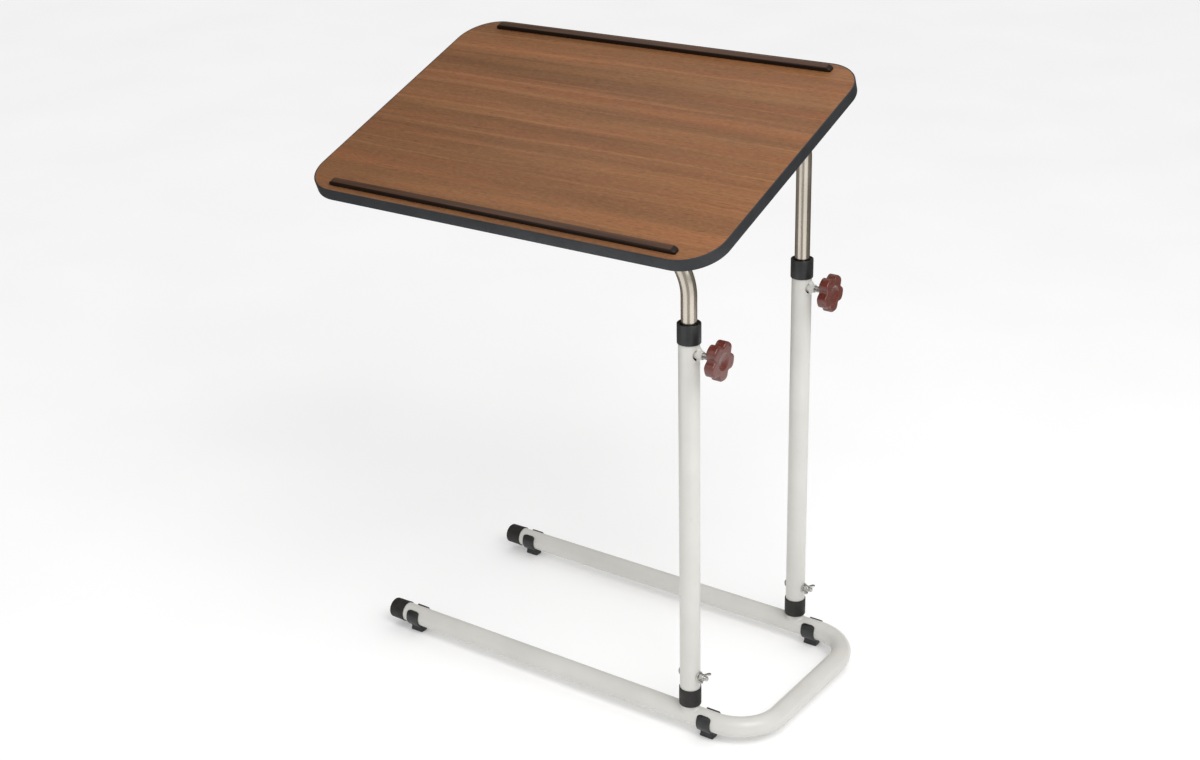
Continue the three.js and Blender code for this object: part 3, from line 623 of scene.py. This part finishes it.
def glide(node):
    """A saddle whose lips have rounded corners, on a neck and a small pad."""
    corner_low, corner_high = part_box(node)
    half_length = (corner_high.x - corner_low.x) / 2
    axis = Vector((centre(node).x, centre(node).y, centre("base_tube").z))
    inner = TUBE_R + 0.1 * MM
    outer = inner + GLIDE_WALL
    stations = 72
    rings = []
    for i in range(stations + 1):
        angle = -GLIDE_LIP + 2 * GLIDE_LIP * i / stations
        to_end = (GLIDE_LIP - abs(angle)) * outer
        inside_corner = max(0.0, GLIDE_CORNER - to_end)
        half = half_length - GLIDE_CORNER + math.sqrt(GLIDE_CORNER**2 - inside_corner**2)
        thin = 1 - 0.35 * min(1.0, inside_corner / GLIDE_CORNER) ** 2
        top = inner + GLIDE_WALL * thin
        corners = [
            (-half, inner, 0.2 * MM),
            (half, inner, 0.2 * MM),
            (half, top, 0.7 * MM),
            (-half, top, 0.7 * MM),
        ]
        section = rounded(corners, 3, closed=True)
        down = Vector((0, math.sin(angle), -math.cos(angle)))
        rings.append([axis + X * x + down * r for x, r in section])
    saddle = loft(rings)
    pad_half = 6 * MM
    neck_half = 5.3 * MM
    levels = [
        (0.0, half_length - 0.5 * MM, pad_half - 0.5 * MM),
        (0.15 * MM, half_length - 0.15 * MM, pad_half - 0.15 * MM),
        (0.5 * MM, half_length, pad_half),
        (2.2 * MM, half_length, pad_half),
        (2.7 * MM, half_length - 0.1 * MM, pad_half - 0.2 * MM),
        (3.4 * MM, half_length - 0.4 * MM, neck_half + 0.3 * MM),
        (4.4 * MM, half_length - 0.5 * MM, neck_half),
        (8.0 * MM, half_length - 0.5 * MM, neck_half + 0.2 * MM),
    ]
    pad_rings = []
    for height, half_x, half_y in levels:
        outline = rounded(rectangle(half_x, half_y, 1.2 * MM), 4, closed=True)
        shift = Vector((axis.x, axis.y, corner_low.z + height))
        pad_rings.append([shift + Vector((x, y, 0)) for x, y in outline])
    stand_in(node, joined(saddle, loft(pad_rings)), "black_plastic", "base_frame")


# ---- Legs ----
def leg_axis(side):
    """The leg's axis where it meets the floor."""
    middle = centre(f"upright_{side}")
    return Vector((middle.x, middle.y, 0))


def leg_point(side, node):
    """The point of the leg's axis at the height of a node's middle."""
    return leg_axis(side) + Vector((0, 0, centre(node).z))


def ends_from_leg(side, node):
    """Where a node starts and ends along x, from the leg's axis."""
    axis_x = leg_axis(side).x
    return low(node).x - axis_x, high(node).x - axis_x


NUT_HOLE_R = 7.5 * MM
NUT_HOLE_SHIFT = 0.5 * MM  # towards the side that the weld leaves open


def upright(side):
    """Painted tube with a punched hole behind the clamp's nut."""
    node = f"upright_{side}"
    bottom = low(node).z
    top = high(node).z
    inner = TUBE_R - 1.5 * MM
    corners = [
        (inner, bottom, 0),
        (TUBE_R, bottom, 0.4 * MM),
        (TUBE_R, top, 0.4 * MM),
        (inner, top, 0),
    ]
    shape = turned_ring(corners, 3)
    hole = turned([(NUT_HOLE_R, 0), (NUT_HOLE_R, 2 * TUBE_R)], 48)
    shift = Vector((0, -NUT_HOLE_SHIFT, centre(f"weld_nut_{side}").z))
    shape = carved(shape, moved(hole, frame_at(shift, X)))
    shape = moved(shape, Matrix.Translation(leg_axis(side)))
    stand_in(node, shape, "cream_paint", "base_frame", sharp=40)


def lower_collar(side):
    """A rubber cup round the upright's foot, with a thin rounded lip."""
    node = f"lower_collar_{side}"
    bottom = low(node).z
    top = high(node).z
    radius = (high(node).x - low(node).x) / 2 - 0.2 * MM
    corners = [
        (9 * MM, bottom, 0),
        (radius, bottom, 0.9 * MM),
        (radius + 0.1 * MM, (bottom + top) / 2, 20 * MM),
        (radius, top, 0.5 * MM),
        (TUBE_R + 0.05 * MM, top, 0.25 * MM),
        (TUBE_R + 0.05 * MM, bottom + 1 * MM, 0),
        (9 * MM, bottom + 1 * MM, 0),
    ]
    shape = turned_ring(corners, 5)
    shape = moved(shape, Matrix.Translation(leg_axis(side)))
    stand_in(node, shape, "rubber", "base_frame")


def upper_collar(side):
    """A cap over the upright's top: a raised rim round a recess that the chromed tube enters."""
    node = f"upper_collar_{side}"
    bottom = low(node).z + 3.5 * MM
    top = high(node).z
    radius = (high(node).x - low(node).x) / 2 - 0.3 * MM
    corners = [
        (TUBE_R + 0.05 * MM, bottom, 0.3 * MM),
        (radius, bottom, 0.8 * MM),
        (radius + 0.05 * MM, (bottom + top) / 2, 20 * MM),
        (radius, top, 0.7 * MM),
        (radius - 1.5 * MM, top, 0.5 * MM),
        (radius - 2 * MM, top - 1.9 * MM, 0.3 * MM),
        (ARM_R + 0.9 * MM, top - 2.1 * MM, 0.4 * MM),
        (ARM_R + 0.5 * MM, top - 12 * MM, 0),
        (TUBE_R + 0.05 * MM, top - 12 * MM, 0),
    ]
    shape = turned_ring(corners, 5)
    shape = moved(shape, Matrix.Translation(leg_axis(side)))
    stand_in(node, shape, "black_plastic", "base_frame")


def tube_height(aside):
    """How far from the middle plane the large tube's skin is, at a distance aside from its axis."""
    return math.sqrt(max(0.0, TUBE_R**2 - aside**2))


STUB_R = 10.8 * MM
FILLET_ALONG = 4.2 * MM
FILLET_ACROSS = 1.2 * MM
FILLET_RISE = 2.6 * MM


def spigot_weld(side):
    """The painted fillet where the stub under the leg meets the foot tube, longer along the tube."""
    around = 96
    steps = 8
    slope = 1.9  # how steeply the fillet falls away from the stub
    rings = []
    for k in range(around):
        angle = 2 * math.pi * k / around
        along = math.cos(angle)
        across = math.sin(angle)
        foot = STUB_R + FILLET_ALONG * along**2 + FILLET_ACROSS * across**2
        top = tube_height(STUB_R * across) + FILLET_RISE
        bottom = tube_height(foot * across)
        ring = [Vector((STUB_R * along, STUB_R * across, bottom - 1 * MM))]
        for step in range(steps + 1):
            t = step / steps
            radius = STUB_R + (foot - STUB_R) * t
            height = bottom + (top - bottom) * (1 - t) ** slope
            ring.append(Vector((radius * along, radius * across, height)))
        root = 0.98 * foot
        ring.append(Vector((root * along, root * across, bottom - 0.5 * MM)))
        rings.append(ring)
    origin = leg_point(side, "base_tube")
    shape = moved(loft(rings, looped=True), Matrix.Translation(origin))
    piece(f"spigot_weld_{side}", shape, "cream_paint", "base_frame", sharp=60)


NUT_R = 5.2 * MM
NUT_BORE_R = 4.2 * MM
NUT_WELD_REACH = 11 * MM
NUT_WELD_HALF_ANGLE = math.radians(126)  # either side of +Y


def clamp_nut(side):
    """The painted nut on the upright, with its root inside the upright's wall."""
    node = f"weld_nut_{side}"
    face = high(node).x - leg_axis(side).x
    root = 8 * MM
    corners = [
        (NUT_BORE_R, root, 0),
        (NUT_R, root, 0),
        (NUT_R, face, 1.2 * MM),
        (NUT_BORE_R + 0.5 * MM, face, 0.2 * MM),
        (NUT_BORE_R, face - 0.5 * MM, 0),
    ]
    origin = leg_point(side, node)
    shape = turned_ring(corners, 5, 48)
    stand_in(node, moved(shape, frame_at(origin, X)), "cream_paint", "base_frame")


def nut_weld(side):
    """A mound of weld round the nut, open towards -Y; its angles run from +Y to +Z."""
    node = f"weld_nut_{side}"
    face = high(node).x - leg_axis(side).x
    base = TUBE_R - 1 * MM
    inner = NUT_R - 0.3 * MM
    around = 72
    steps = 10
    slope = 1.25
    ripple = 0.03
    ripples = 23
    rings = []
    for k in range(around + 1):
        angle = NUT_WELD_HALF_ANGLE * (2 * k / around - 1)
        fade = math.sin(math.pi * k / around) ** 0.55
        across = math.cos(angle)
        along = math.sin(angle)
        reach = NUT_R + 0.4 * MM + (NUT_WELD_REACH - NUT_R) * fade
        top = base + (face - 1.2 * MM - base) * fade
        bottom = tube_height(reach * across) - 0.1 * MM
        ring = [Vector((bottom - 1 * MM, inner * across, inner * along))]
        for step in range(steps + 1):
            t = step / steps
            radius = inner + (reach - inner) * t
            swell = 1 + ripple * math.sin(ripples * angle) * math.sin(math.pi * t)
            height = bottom + (top - bottom) * (1 - t) ** slope * swell
            ring.append(Vector((height, radius * across, radius * along)))
        rings.append(ring)
    origin = leg_point(side, node)
    shape = moved(loft(rings), Matrix.Translation(origin))
    piece(f"nut_weld_{side}", shape, "cream_paint", "base_frame", sharp=60)


def thread(radius, depth, pitch, start, end, sides=28, per_turn=8):
    """A threaded rod along z, its crests rounded, with a short plain chamfer at each end."""
    rings = []
    count = int((end - start) / pitch * per_turn)
    for i in range(count + 1):
        height = start + (end - start) * i / count
        near_end = min(height - start, end - height)
        chamfer = max(0.0, 1.0 * MM - near_end)
        ring = []
        for k in range(sides):
            phase = (height / pitch - k / sides) % 1
            groove = depth * (0.5 + 0.5 * math.cos(2 * math.pi * phase)) ** 0.8
            reach = min(radius - groove, radius - chamfer)
            angle = 2 * math.pi * k / sides
            ring.append((reach * math.cos(angle), reach * math.sin(angle), height))
        rings.append(ring)
    return loft(rings)


def clamp_stud(side):
    node = f"clamp_stud_{side}"
    origin = leg_point(side, node)
    start, end = ends_from_leg(side, node)
    shape = thread(3.9 * MM, 0.65 * MM, 1.25 * MM, start, end)
    stand_in(node, moved(shape, frame_at(origin, X)), "zinc", f"{side}_clamp_stud")


KNOB_LOBES = 5
KNOB_REACH = 23.9 * MM
KNOB_VALLEY = 5.8 * MM
KNOB_FULLNESS = 5  # the higher, the wider the lobes and the narrower the valleys
KNOB_TURN = math.radians(-16)  # from +Y towards +Z
KNOB_EDGE = 1.7 * MM
KNOB_BOWL = 10.8 * MM
KNOB_AROUND = 240
FACING_X = Matrix(((0, 0, 1, 0), (1, 0, 0, 0), (0, 1, 0, 0), (0, 0, 0, 1)))  # x, y, z to +Y, +Z, +X


def lobed_ring(inset, height):
    """The knob's outline, drawn in by inset. Angles run from +Y towards +Z."""
    ring = []
    for k in range(KNOB_AROUND):
        angle = 2 * math.pi * k / KNOB_AROUND
        dip = abs(math.sin(KNOB_LOBES / 2 * (angle - KNOB_TURN))) ** KNOB_FULLNESS
        radius = KNOB_REACH - KNOB_VALLEY * dip - inset
        ring.append(Vector((radius * math.cos(angle), radius * math.sin(angle), height)))
    return ring


def round_ring(radius, height):
    angles = [2 * math.pi * k / KNOB_AROUND for k in range(KNOB_AROUND)]
    return [Vector((radius * math.cos(a), radius * math.sin(a), height)) for a in angles]


def knob(side):
    """A five-lobed hand knob: eased edges, a low boss at its back and a shallow bowl in its face."""
    node = f"clamp_knob_{side}"
    origin = leg_point(side, node)
    back, face = ends_from_leg(side, node)
    boss = 0.5 * MM
    rings = [round_ring(radius, back) for radius in (4 * MM, 8.2 * MM)]
    rings += [round_ring(8.8 * MM, back + boss / 2), round_ring(9 * MM, back + boss)]
    rim = [math.pi / 2 * step / 6 for step in range(7)]
    for angle in rim:
        inset = KNOB_EDGE * (1 - math.sin(angle))
        rings.append(lobed_ring(inset, back + boss + KNOB_EDGE * (1 - math.cos(angle))))
    for angle in reversed(rim):
        inset = KNOB_EDGE * (1 - math.sin(angle))
        rings.append(lobed_ring(inset, face - KNOB_EDGE * (1 - math.cos(angle))))
    # The face runs flat to the bowl's round rim.
    edge = lobed_ring(KNOB_EDGE, face)
    bowl_ring = round_ring(KNOB_BOWL, face)
    for share in (0.3, 0.6, 0.85):
        rings.append([point.lerp(inner, share) for point, inner in zip(edge, bowl_ring)])
    corners = [
        (KNOB_BOWL + 0.6 * MM, face, 0),
        (KNOB_BOWL - 0.3 * MM, face, 0.8 * MM),
        (KNOB_BOWL - 2.4 * MM, face - 1.3 * MM, 3 * MM),
        (1 * MM, face - 2.1 * MM, 0),
    ]
    bowl = rounded(corners, 6)
    rings += [round_ring(radius, height) for radius, height in bowl]
    shape = moved(loft(rings), Matrix.Translation(origin) @ FACING_X)
    stand_in(node, shape, "brown_plastic", f"{side}_knob", sharp=50)


# ---- Cross bolt, washer and wing nut ----
def cross_bolt(side):
    """A cup-headed bolt with a threaded end."""
    node = f"cross_bolt_{side}"
    origin = leg_point(side, node)
    head, end = ends_from_leg(side, node)
    under = -TUBE_R
    corners = [
        (0.6 * MM, head, 0),
        (2.4 * MM, head + 0.15 * MM, 3 * MM),
        (5 * MM, under - 1.1 * MM, 2 * MM),
        (5 * MM, under, 0.3 * MM),
        (3 * MM, under, 0),
        (3 * MM, TUBE_R, 0),
    ]
    profile = rounded(corners, 6)
    shape = joined(turned(profile, 48), thread(3 * MM, 0.5 * MM, 1 * MM, TUBE_R - 1 * MM, end))
    stand_in(node, moved(shape, frame_at(origin, X)), "zinc", "base_frame")


def washer(side):
    node = f"washer_{side}"
    origin = leg_point(side, node)
    start, end = ends_from_leg(side, node)
    corners = [
        (3.3 * MM, start, 0),
        (6.4 * MM, start, 0),
        (6.4 * MM, end, 0.3 * MM),
        (3.3 * MM, end, 0.2 * MM),
    ]
    shape = turned_ring(corners, 3, 48)
    stand_in(node, moved(shape, frame_at(origin, X)), "zinc", f"{side}_washer")


WING_TURN = math.radians(5)  # from level


def wing_nut(side):
    """A tapered hub with two rounded wings that grow out of it."""
    node = f"wing_nut_{side}"
    origin = leg_point(side, node)
    start = low(node).x - origin.x
    hub_corners = [
        (3.2 * MM, 0, 0),
        (5 * MM, 0, 0.6 * MM),
        (4.2 * MM, 6 * MM, 0.9 * MM),
        (3.2 * MM, 6 * MM, 0),
    ]
    hub = turned_ring(hub_corners, 4, 40)
    wings = []
    for direction in (1, -1):
        corners = [
            (3.4 * MM, 0.8 * MM, 0.4 * MM),
            (6.2 * MM, 1.6 * MM, 2.5 * MM),
            (11.8 * MM, 5.2 * MM, 2.5 * MM),
            (12.4 * MM, 9.2 * MM, 1.7 * MM),
            (8.2 * MM, 9.6 * MM, 1.7 * MM),
            (4 * MM, 5.2 * MM, 0.8 * MM),
        ]
        outline = rounded([(direction * x, y, r) for x, y, r in corners], 5, closed=True)
        plate = slab(outline, 1.5 * MM, 0.55 * MM)
        wings.append(moved(plate, Matrix.Rotation(math.pi / 2, 4, "X")))
    place = frame_at(origin + X * start, X) @ Matrix.Rotation(WING_TURN, 4, "Z")
    shape = moved(joined(hub, *wings), place)
    stand_in(node, shape, "zinc", f"{side}_wing_nut", sharp=45)


# ---- Tabletop, in its own frame ----
def top_piece(node, shape, slot, **more):
    stand_in(node, moved(shape, TOP), slot, "tabletop", **more)


BOARD_CORNER_R = 51 * MM
BAND = 1.6 * MM
CORNER_STEPS = 24


def board_outline(trim):
    """The board's rounded rectangle about its centre, trimmed by a distance all round."""
    half_x = (BOARD_HIGH.x - BOARD_LOW.x) / 2 - trim
    half_y = (BOARD_HIGH.y - BOARD_LOW.y) / 2 - trim
    return rounded(rectangle(half_x, half_y, BOARD_CORNER_R - trim), CORNER_STEPS, closed=True)


def board_sheet(trim, bottom, top, edge):
    """A sheet of the board's outline, from one height to another in the top's frame."""
    shape = slab(board_outline(trim), top - bottom, edge)
    place = Vector((BOARD_MIDDLE.x, BOARD_MIDDLE.y, (bottom + top) / 2))
    return moved(shape, Matrix.Translation(place))


def laminates():
    top = board_sheet(BAND + 0.05 * MM, BOARD_HIGH.z - 0.9 * MM, BOARD_HIGH.z - 0.1 * MM, 0.1 * MM)
    top_piece("top_laminate", top, "wood_laminate")
    under = board_sheet(BAND + 0.05 * MM, BOARD_LOW.z + 0.05 * MM, BOARD_LOW.z + 0.9 * MM, 0.1 * MM)
    top_piece("backing_laminate", under, "backing_laminate")


def edge_band():
    """Edging with softly rounded outer edges and a fine bevelled inner one."""
    thickness = BOARD_HIGH.z - BOARD_LOW.z
    corners = [
        (BAND, 0, 0),
        (0, 0, 1.2 * MM),
        (0, thickness, 0.7 * MM),
        (BAND, thickness, 0.15 * MM),
    ]
    section = rounded(corners, 5, closed=True)
    rings = []
    for inset, height in section:
        outline = board_outline(inset)
        shift = Vector((BOARD_MIDDLE.x, BOARD_MIDDLE.y, BOARD_LOW.z + height))
        rings.append([shift + Vector((x, y, 0)) for x, y in outline])
    top_piece("edge_band", loft(rings, looped=True), "edge_plastic", sharp=40)


RIDGE_HALF = 5 * MM
# Each station is (distance from the end, half width, height of the crest, edge radius).
RIDGE_STATIONS = (
    (0.0, 3.4 * MM, 2.0 * MM, 0.5 * MM),
    (0.6 * MM, 4.2 * MM, 2.8 * MM, 0.8 * MM),
    (2.2 * MM, 4.8 * MM, 4.3 * MM, 1.2 * MM),
    (4.6 * MM, RIDGE_HALF, 5.6 * MM, 1.5 * MM),
    (6.4 * MM, RIDGE_HALF, RIDGE_HEIGHT, 1.6 * MM),
)


def ridge(side):
    """A strip with eased long edges, its ends cut back in two facets."""
    node = f"ridge_{side}"
    lowest, highest = local_box(node)
    middle_y = (lowest.y + highest.y) / 2
    base = BOARD_HIGH.z - 0.6 * MM
    stations = [(lowest.x + distance, *rest) for distance, *rest in RIDGE_STATIONS]
    stations += [(highest.x - distance, *rest) for distance, *rest in reversed(RIDGE_STATIONS)]
    rings = []
    for x, half, height, edge in stations:
        crest = BOARD_HIGH.z + height
        corners = [(-half, base, 0), (half, base, 0), (half, crest, edge), (-half, crest, edge)]
        rings.append([Vector((x, middle_y + y, z)) for y, z in rounded(corners, 5, closed=True)])
    top_piece(node, loft(rings), "ridge_wood", sharp=28)


CLIP_WALL = 1.6 * MM
CLIP_FLANGE = 15 * MM


def arm_clip(node):
    """A strap pressed round the arm: a small section led along the strap's middle line."""
    lowest, highest = local_box(node)
    half = CLIP_WALL / 2
    left = lowest.y + CLIP_FLANGE + half
    right = highest.y - CLIP_FLANGE - half
    fold = 1.2 * MM + half
    bend = ARM_R + 0.4 * MM + half
    corners = [
        (lowest.y, highest.z - half, 0),
        (left, highest.z - half, fold),
        (left, lowest.z + half, bend),
        (right, lowest.z + half, bend),
        (right, highest.z - half, fold),
        (highest.y, highest.z - half, 0),
    ]
    line = rounded(corners, 9)
    middle = (lowest.x + highest.x) / 2
    reach = (highest.x - lowest.x) / 2
    section = rounded(rectangle(half, reach, 0.3 * MM), 3, closed=True)
    rings = []
    for k, point in enumerate(line):
        along = (line[min(k + 1, len(line) - 1)] - line[max(k - 1, 0)]).normalized()
        ring = []
        for outward, x in section:
            place = point + Vector((-along.y, along.x)) * outward
            ring.append(Vector((middle + x, place.x, place.y)))
        rings.append(ring)
    top_piece(node, loft(rings), "zinc")


def cross_recess(depth):
    """A cross-shaped cutter that points down z, tapering as a driver's tip does."""
    bars = []
    for turn in (0, math.pi / 2):
        rings = []
        for height, reach, half in ((1 * MM, 2.3 * MM, 0.5 * MM), (-depth, 1.1 * MM, 0.35 * MM)):
            rings.append([Vector((x, y, height)) for x, y, _ in rectangle(reach, half)])
        bars.append(moved(loft(rings), Matrix.Rotation(turn, 4, "Z")))
    return bars


def screw_shape(profile, depth):
    """A screw's head with a cross cut into it."""
    shape = turned(profile, 32)
    for bar in cross_recess(depth):
        shape = carved(shape, bar)
    return shape


def screws():
    """Pan heads hold the clips, and flat heads sink into the board under the ridges."""
    corners = [
        (0.3 * MM, 0, 0),
        (2.6 * MM, 0, 3 * MM),
        (4 * MM, -1.6 * MM, 0.8 * MM),
        (4 * MM, -2.4 * MM, 0),
        (2 * MM, -2.4 * MM, 0),
    ]
    pan = rounded(corners, 6)
    flat = [(0.3 * MM, 0), (3.6 * MM, 0), (3.8 * MM, -0.2 * MM), (2 * MM, -2 * MM)]
    pan_shape = screw_shape(pan, 1.5 * MM)
    flat_shape = screw_shape(flat, 1.5 * MM)
    over = Matrix.Rotation(math.pi, 4, "X")
    for node in frame["nodes"]:
        if not node.startswith(("clip_screw", "ridge_screw")):
            continue
        shape = pan_shape if node.startswith("clip_screw") else flat_shape
        lowest, highest = local_box(node)
        place = Vector(((lowest.x + highest.x) / 2, (lowest.y + highest.y) / 2, lowest.z))
        turn = Matrix.Rotation(17 * place.x / MM, 4, "Z")  # each screw stops at an angle of its own
        shape = moved(shape, Matrix.Translation(place) @ over @ turn)
        top_piece(node, shape, "zinc")


def arm_plug(side):
    """The plastic plug in the arm's free end, with a domed head."""
    node = f"arm_plug_{side}"
    corner_low, corner_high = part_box(node)
    head = 3 * MM
    corners = [
        (1 * MM, 0, 0),
        (ARM_R - 1 * MM, 0.2 * MM, 2 * MM),
        (ARM_R, 1.4 * MM, 1 * MM),
        (ARM_R, head, 0.2 * MM),
        (ARM_R - 1.4 * MM, head, 0),
        (ARM_R - 1.4 * MM, corner_high.x - corner_low.x, 0),
    ]
    profile = rounded(corners, 6)
    origin = Vector((corner_low.x, centre(node).y, centre(node).z))
    shape = moved(turned(profile, 48), frame_at(origin, X))
    stand_in(node, shape, "black_plastic", f"{side}_support")


# ---- Build ----
slots = {entry["node"]: entry["material_slot"] for entry in frame["record"]["subparts"]}
for node, solid in frame["nodes"].items():
    solid.data.materials.clear()
    solid.data.materials.append(MATERIALS[slots[node]])

base_tube()
for side in SIDES:
    end_cap(side)
    glide(f"glide_{side}_open")
    glide(f"glide_{side}_bend")
    spigot_weld(side)
    lower_collar(side)
    upright(side)
    upper_collar(side)
    clamp_nut(side)
    nut_weld(side)
    clamp_stud(side)
    knob(side)
    cross_bolt(side)
    washer(side)
    wing_nut(side)
    support_tube(side)
    arm_plug(side)
    ridge(side)
    for i in (1, 2):
        arm_clip(f"arm_clip_{side}_{i}")
laminates()
edge_band()
screws()


# ---- Studio ----
SKY = ((0, 0.95), (0.14, 0.5), (0.6, 0.84))  # how bright it is at each height of direction
CARD_DISTANCE = 0.9
CARD_TOP = 1.2


def studio_floor():
    corners = ((-8, -8), (8, -8), (8, 8), (-8, 8))
    shape = loft([[Vector((x, y, z)) for x, y in corners] for z in (-0.02, 0)])
    floor = mesh_object("studio_floor", shape)
    f = Finish("studio_floor")
    tone = f.between(f.noise(f.place(), 3, 2), 0.3, 0.7)
    f.set(Base_Color=f.mix(tone, srgb(246, 246, 246), srgb(249, 249, 249)), Roughness=0.9)
    f.set(Specular_IOR_Level=0.1, Emission_Color=srgb(255, 255, 255), Emission_Strength=0.1)
    floor.data.materials.append(f.material)


def studio_world():
    """A pale sky: white at the horizon, dimmer just above it and brighter again overhead."""
    world = bpy.data.worlds.new("studio")
    world.use_nodes = True
    nodes = world.node_tree.nodes
    links = world.node_tree.links
    direction = nodes.new("ShaderNodeTexCoord")
    height = nodes.new("ShaderNodeSeparateXYZ")
    links.new(direction.outputs["Generated"], height.inputs[0])
    level = nodes.new("ShaderNodeValToRGB")
    level.color_ramp.interpolation = "EASE"
    while len(level.color_ramp.elements) < len(SKY):
        level.color_ramp.elements.new(1)
    for element, (place, brightness) in zip(level.color_ramp.elements, SKY):
        element.position = place
        element.color = (brightness, brightness, brightness, 1)
    links.new(height.outputs["Z"], level.inputs["Fac"])
    links.new(level.outputs["Color"], nodes["Background"].inputs["Color"])
    bpy.context.scene.world = world


def lamp(name, kind, place, aim, power):
    """Adds a light at a place that shines towards another, and returns its settings."""
    light = bpy.data.lights.new(name, kind)
    light.energy = power
    made = bpy.data.objects.new(name, light)
    made.location = place
    made.rotation_euler = (Vector(aim) - Vector(place)).to_track_quat("-Z", "Y").to_euler()
    bpy.context.scene.collection.objects.link(made)
    return light


def dark_card(name, start, end, bottom, tone):
    """A curved card that only reflections show, as dark studio boards give chrome its edges.

    It stands round the legs from one direction to another: 0 is along -Y and 90 along +X.
    """
    legs = (centre("upright_front") + centre("upright_back")) / 2
    rings = []
    steps = 24
    for k in range(steps + 1):
        turn = math.radians(start + (end - start) * k / steps)
        toward = Vector((math.sin(turn), -math.cos(turn), 0))
        ring = []
        for radius, height in ((0, bottom), (0, CARD_TOP), (0.01, CARD_TOP), (0.01, bottom)):
            ring.append(Vector((legs.x, legs.y, height)) + toward * (CARD_DISTANCE + radius))
        rings.append(ring)
    card = mesh_object(name, loft(rings))
    f = Finish(name)
    f.set(Base_Color=srgb(0, 0, 0), Roughness=1.0, Specular_IOR_Level=0.0)
    f.set(Emission_Color=tone, Emission_Strength=1.0)
    card.data.materials.append(f.material)
    card.visible_camera = False
    card.visible_diffuse = False
    card.visible_shadow = False
    card.visible_transmission = False


def studio_light():
    studio_world()
    sun = lamp("sun", "SUN", place=(2, -1, 2.2), aim=(0, 0, 0), power=0.2)
    sun.angle = math.radians(60)
    key = lamp("key", "AREA", place=(1.15, -0.6, 1.7), aim=(0, 0, 0.5), power=15)
    key.size = 1.1
    dark_card("card_front", start=6, end=40, bottom=0.01, tone=srgb(172, 168, 162))
    dark_card("card_right_back", start=96, end=195, bottom=0.13, tone=srgb(122, 118, 112))
    dark_card("card_left_back", start=-165, end=-46, bottom=0.01, tone=srgb(130, 126, 120))
    view = bpy.context.scene.view_settings
    view.view_transform = "Standard"
    view.look = "None"
    view.exposure = 0


CAMERA_PLACE = (1.2612, -1.76, 1.2918)


def studio_camera():
    """A long lens from the front right, a little above the top."""
    yaw = math.radians(35.605)
    pitch = math.radians(21.642)
    roll = math.radians(-1.309)
    level_back = Vector((math.sin(yaw), -math.cos(yaw), 0))
    back = level_back * math.cos(pitch) + Z * math.sin(pitch)
    right = (-back).cross(Z).normalized()
    up = right.cross(-back)
    rolled_right = math.cos(roll) * right + math.sin(roll) * up
    rolled_up = math.cos(roll) * up - math.sin(roll) * right
    data = bpy.data.cameras.new("camera")
    data.lens = 54.73
    data.sensor_width = 36
    data.shift_y = -0.0333
    camera = bpy.data.objects.new("camera", data)
    axes = Matrix((rolled_right, rolled_up, back)).transposed().to_4x4()
    camera.matrix_world = Matrix.Translation(CAMERA_PLACE) @ axes
    bpy.context.scene.collection.objects.link(camera)
    bpy.context.scene.camera = camera


studio_floor()
studio_light()
studio_camera()
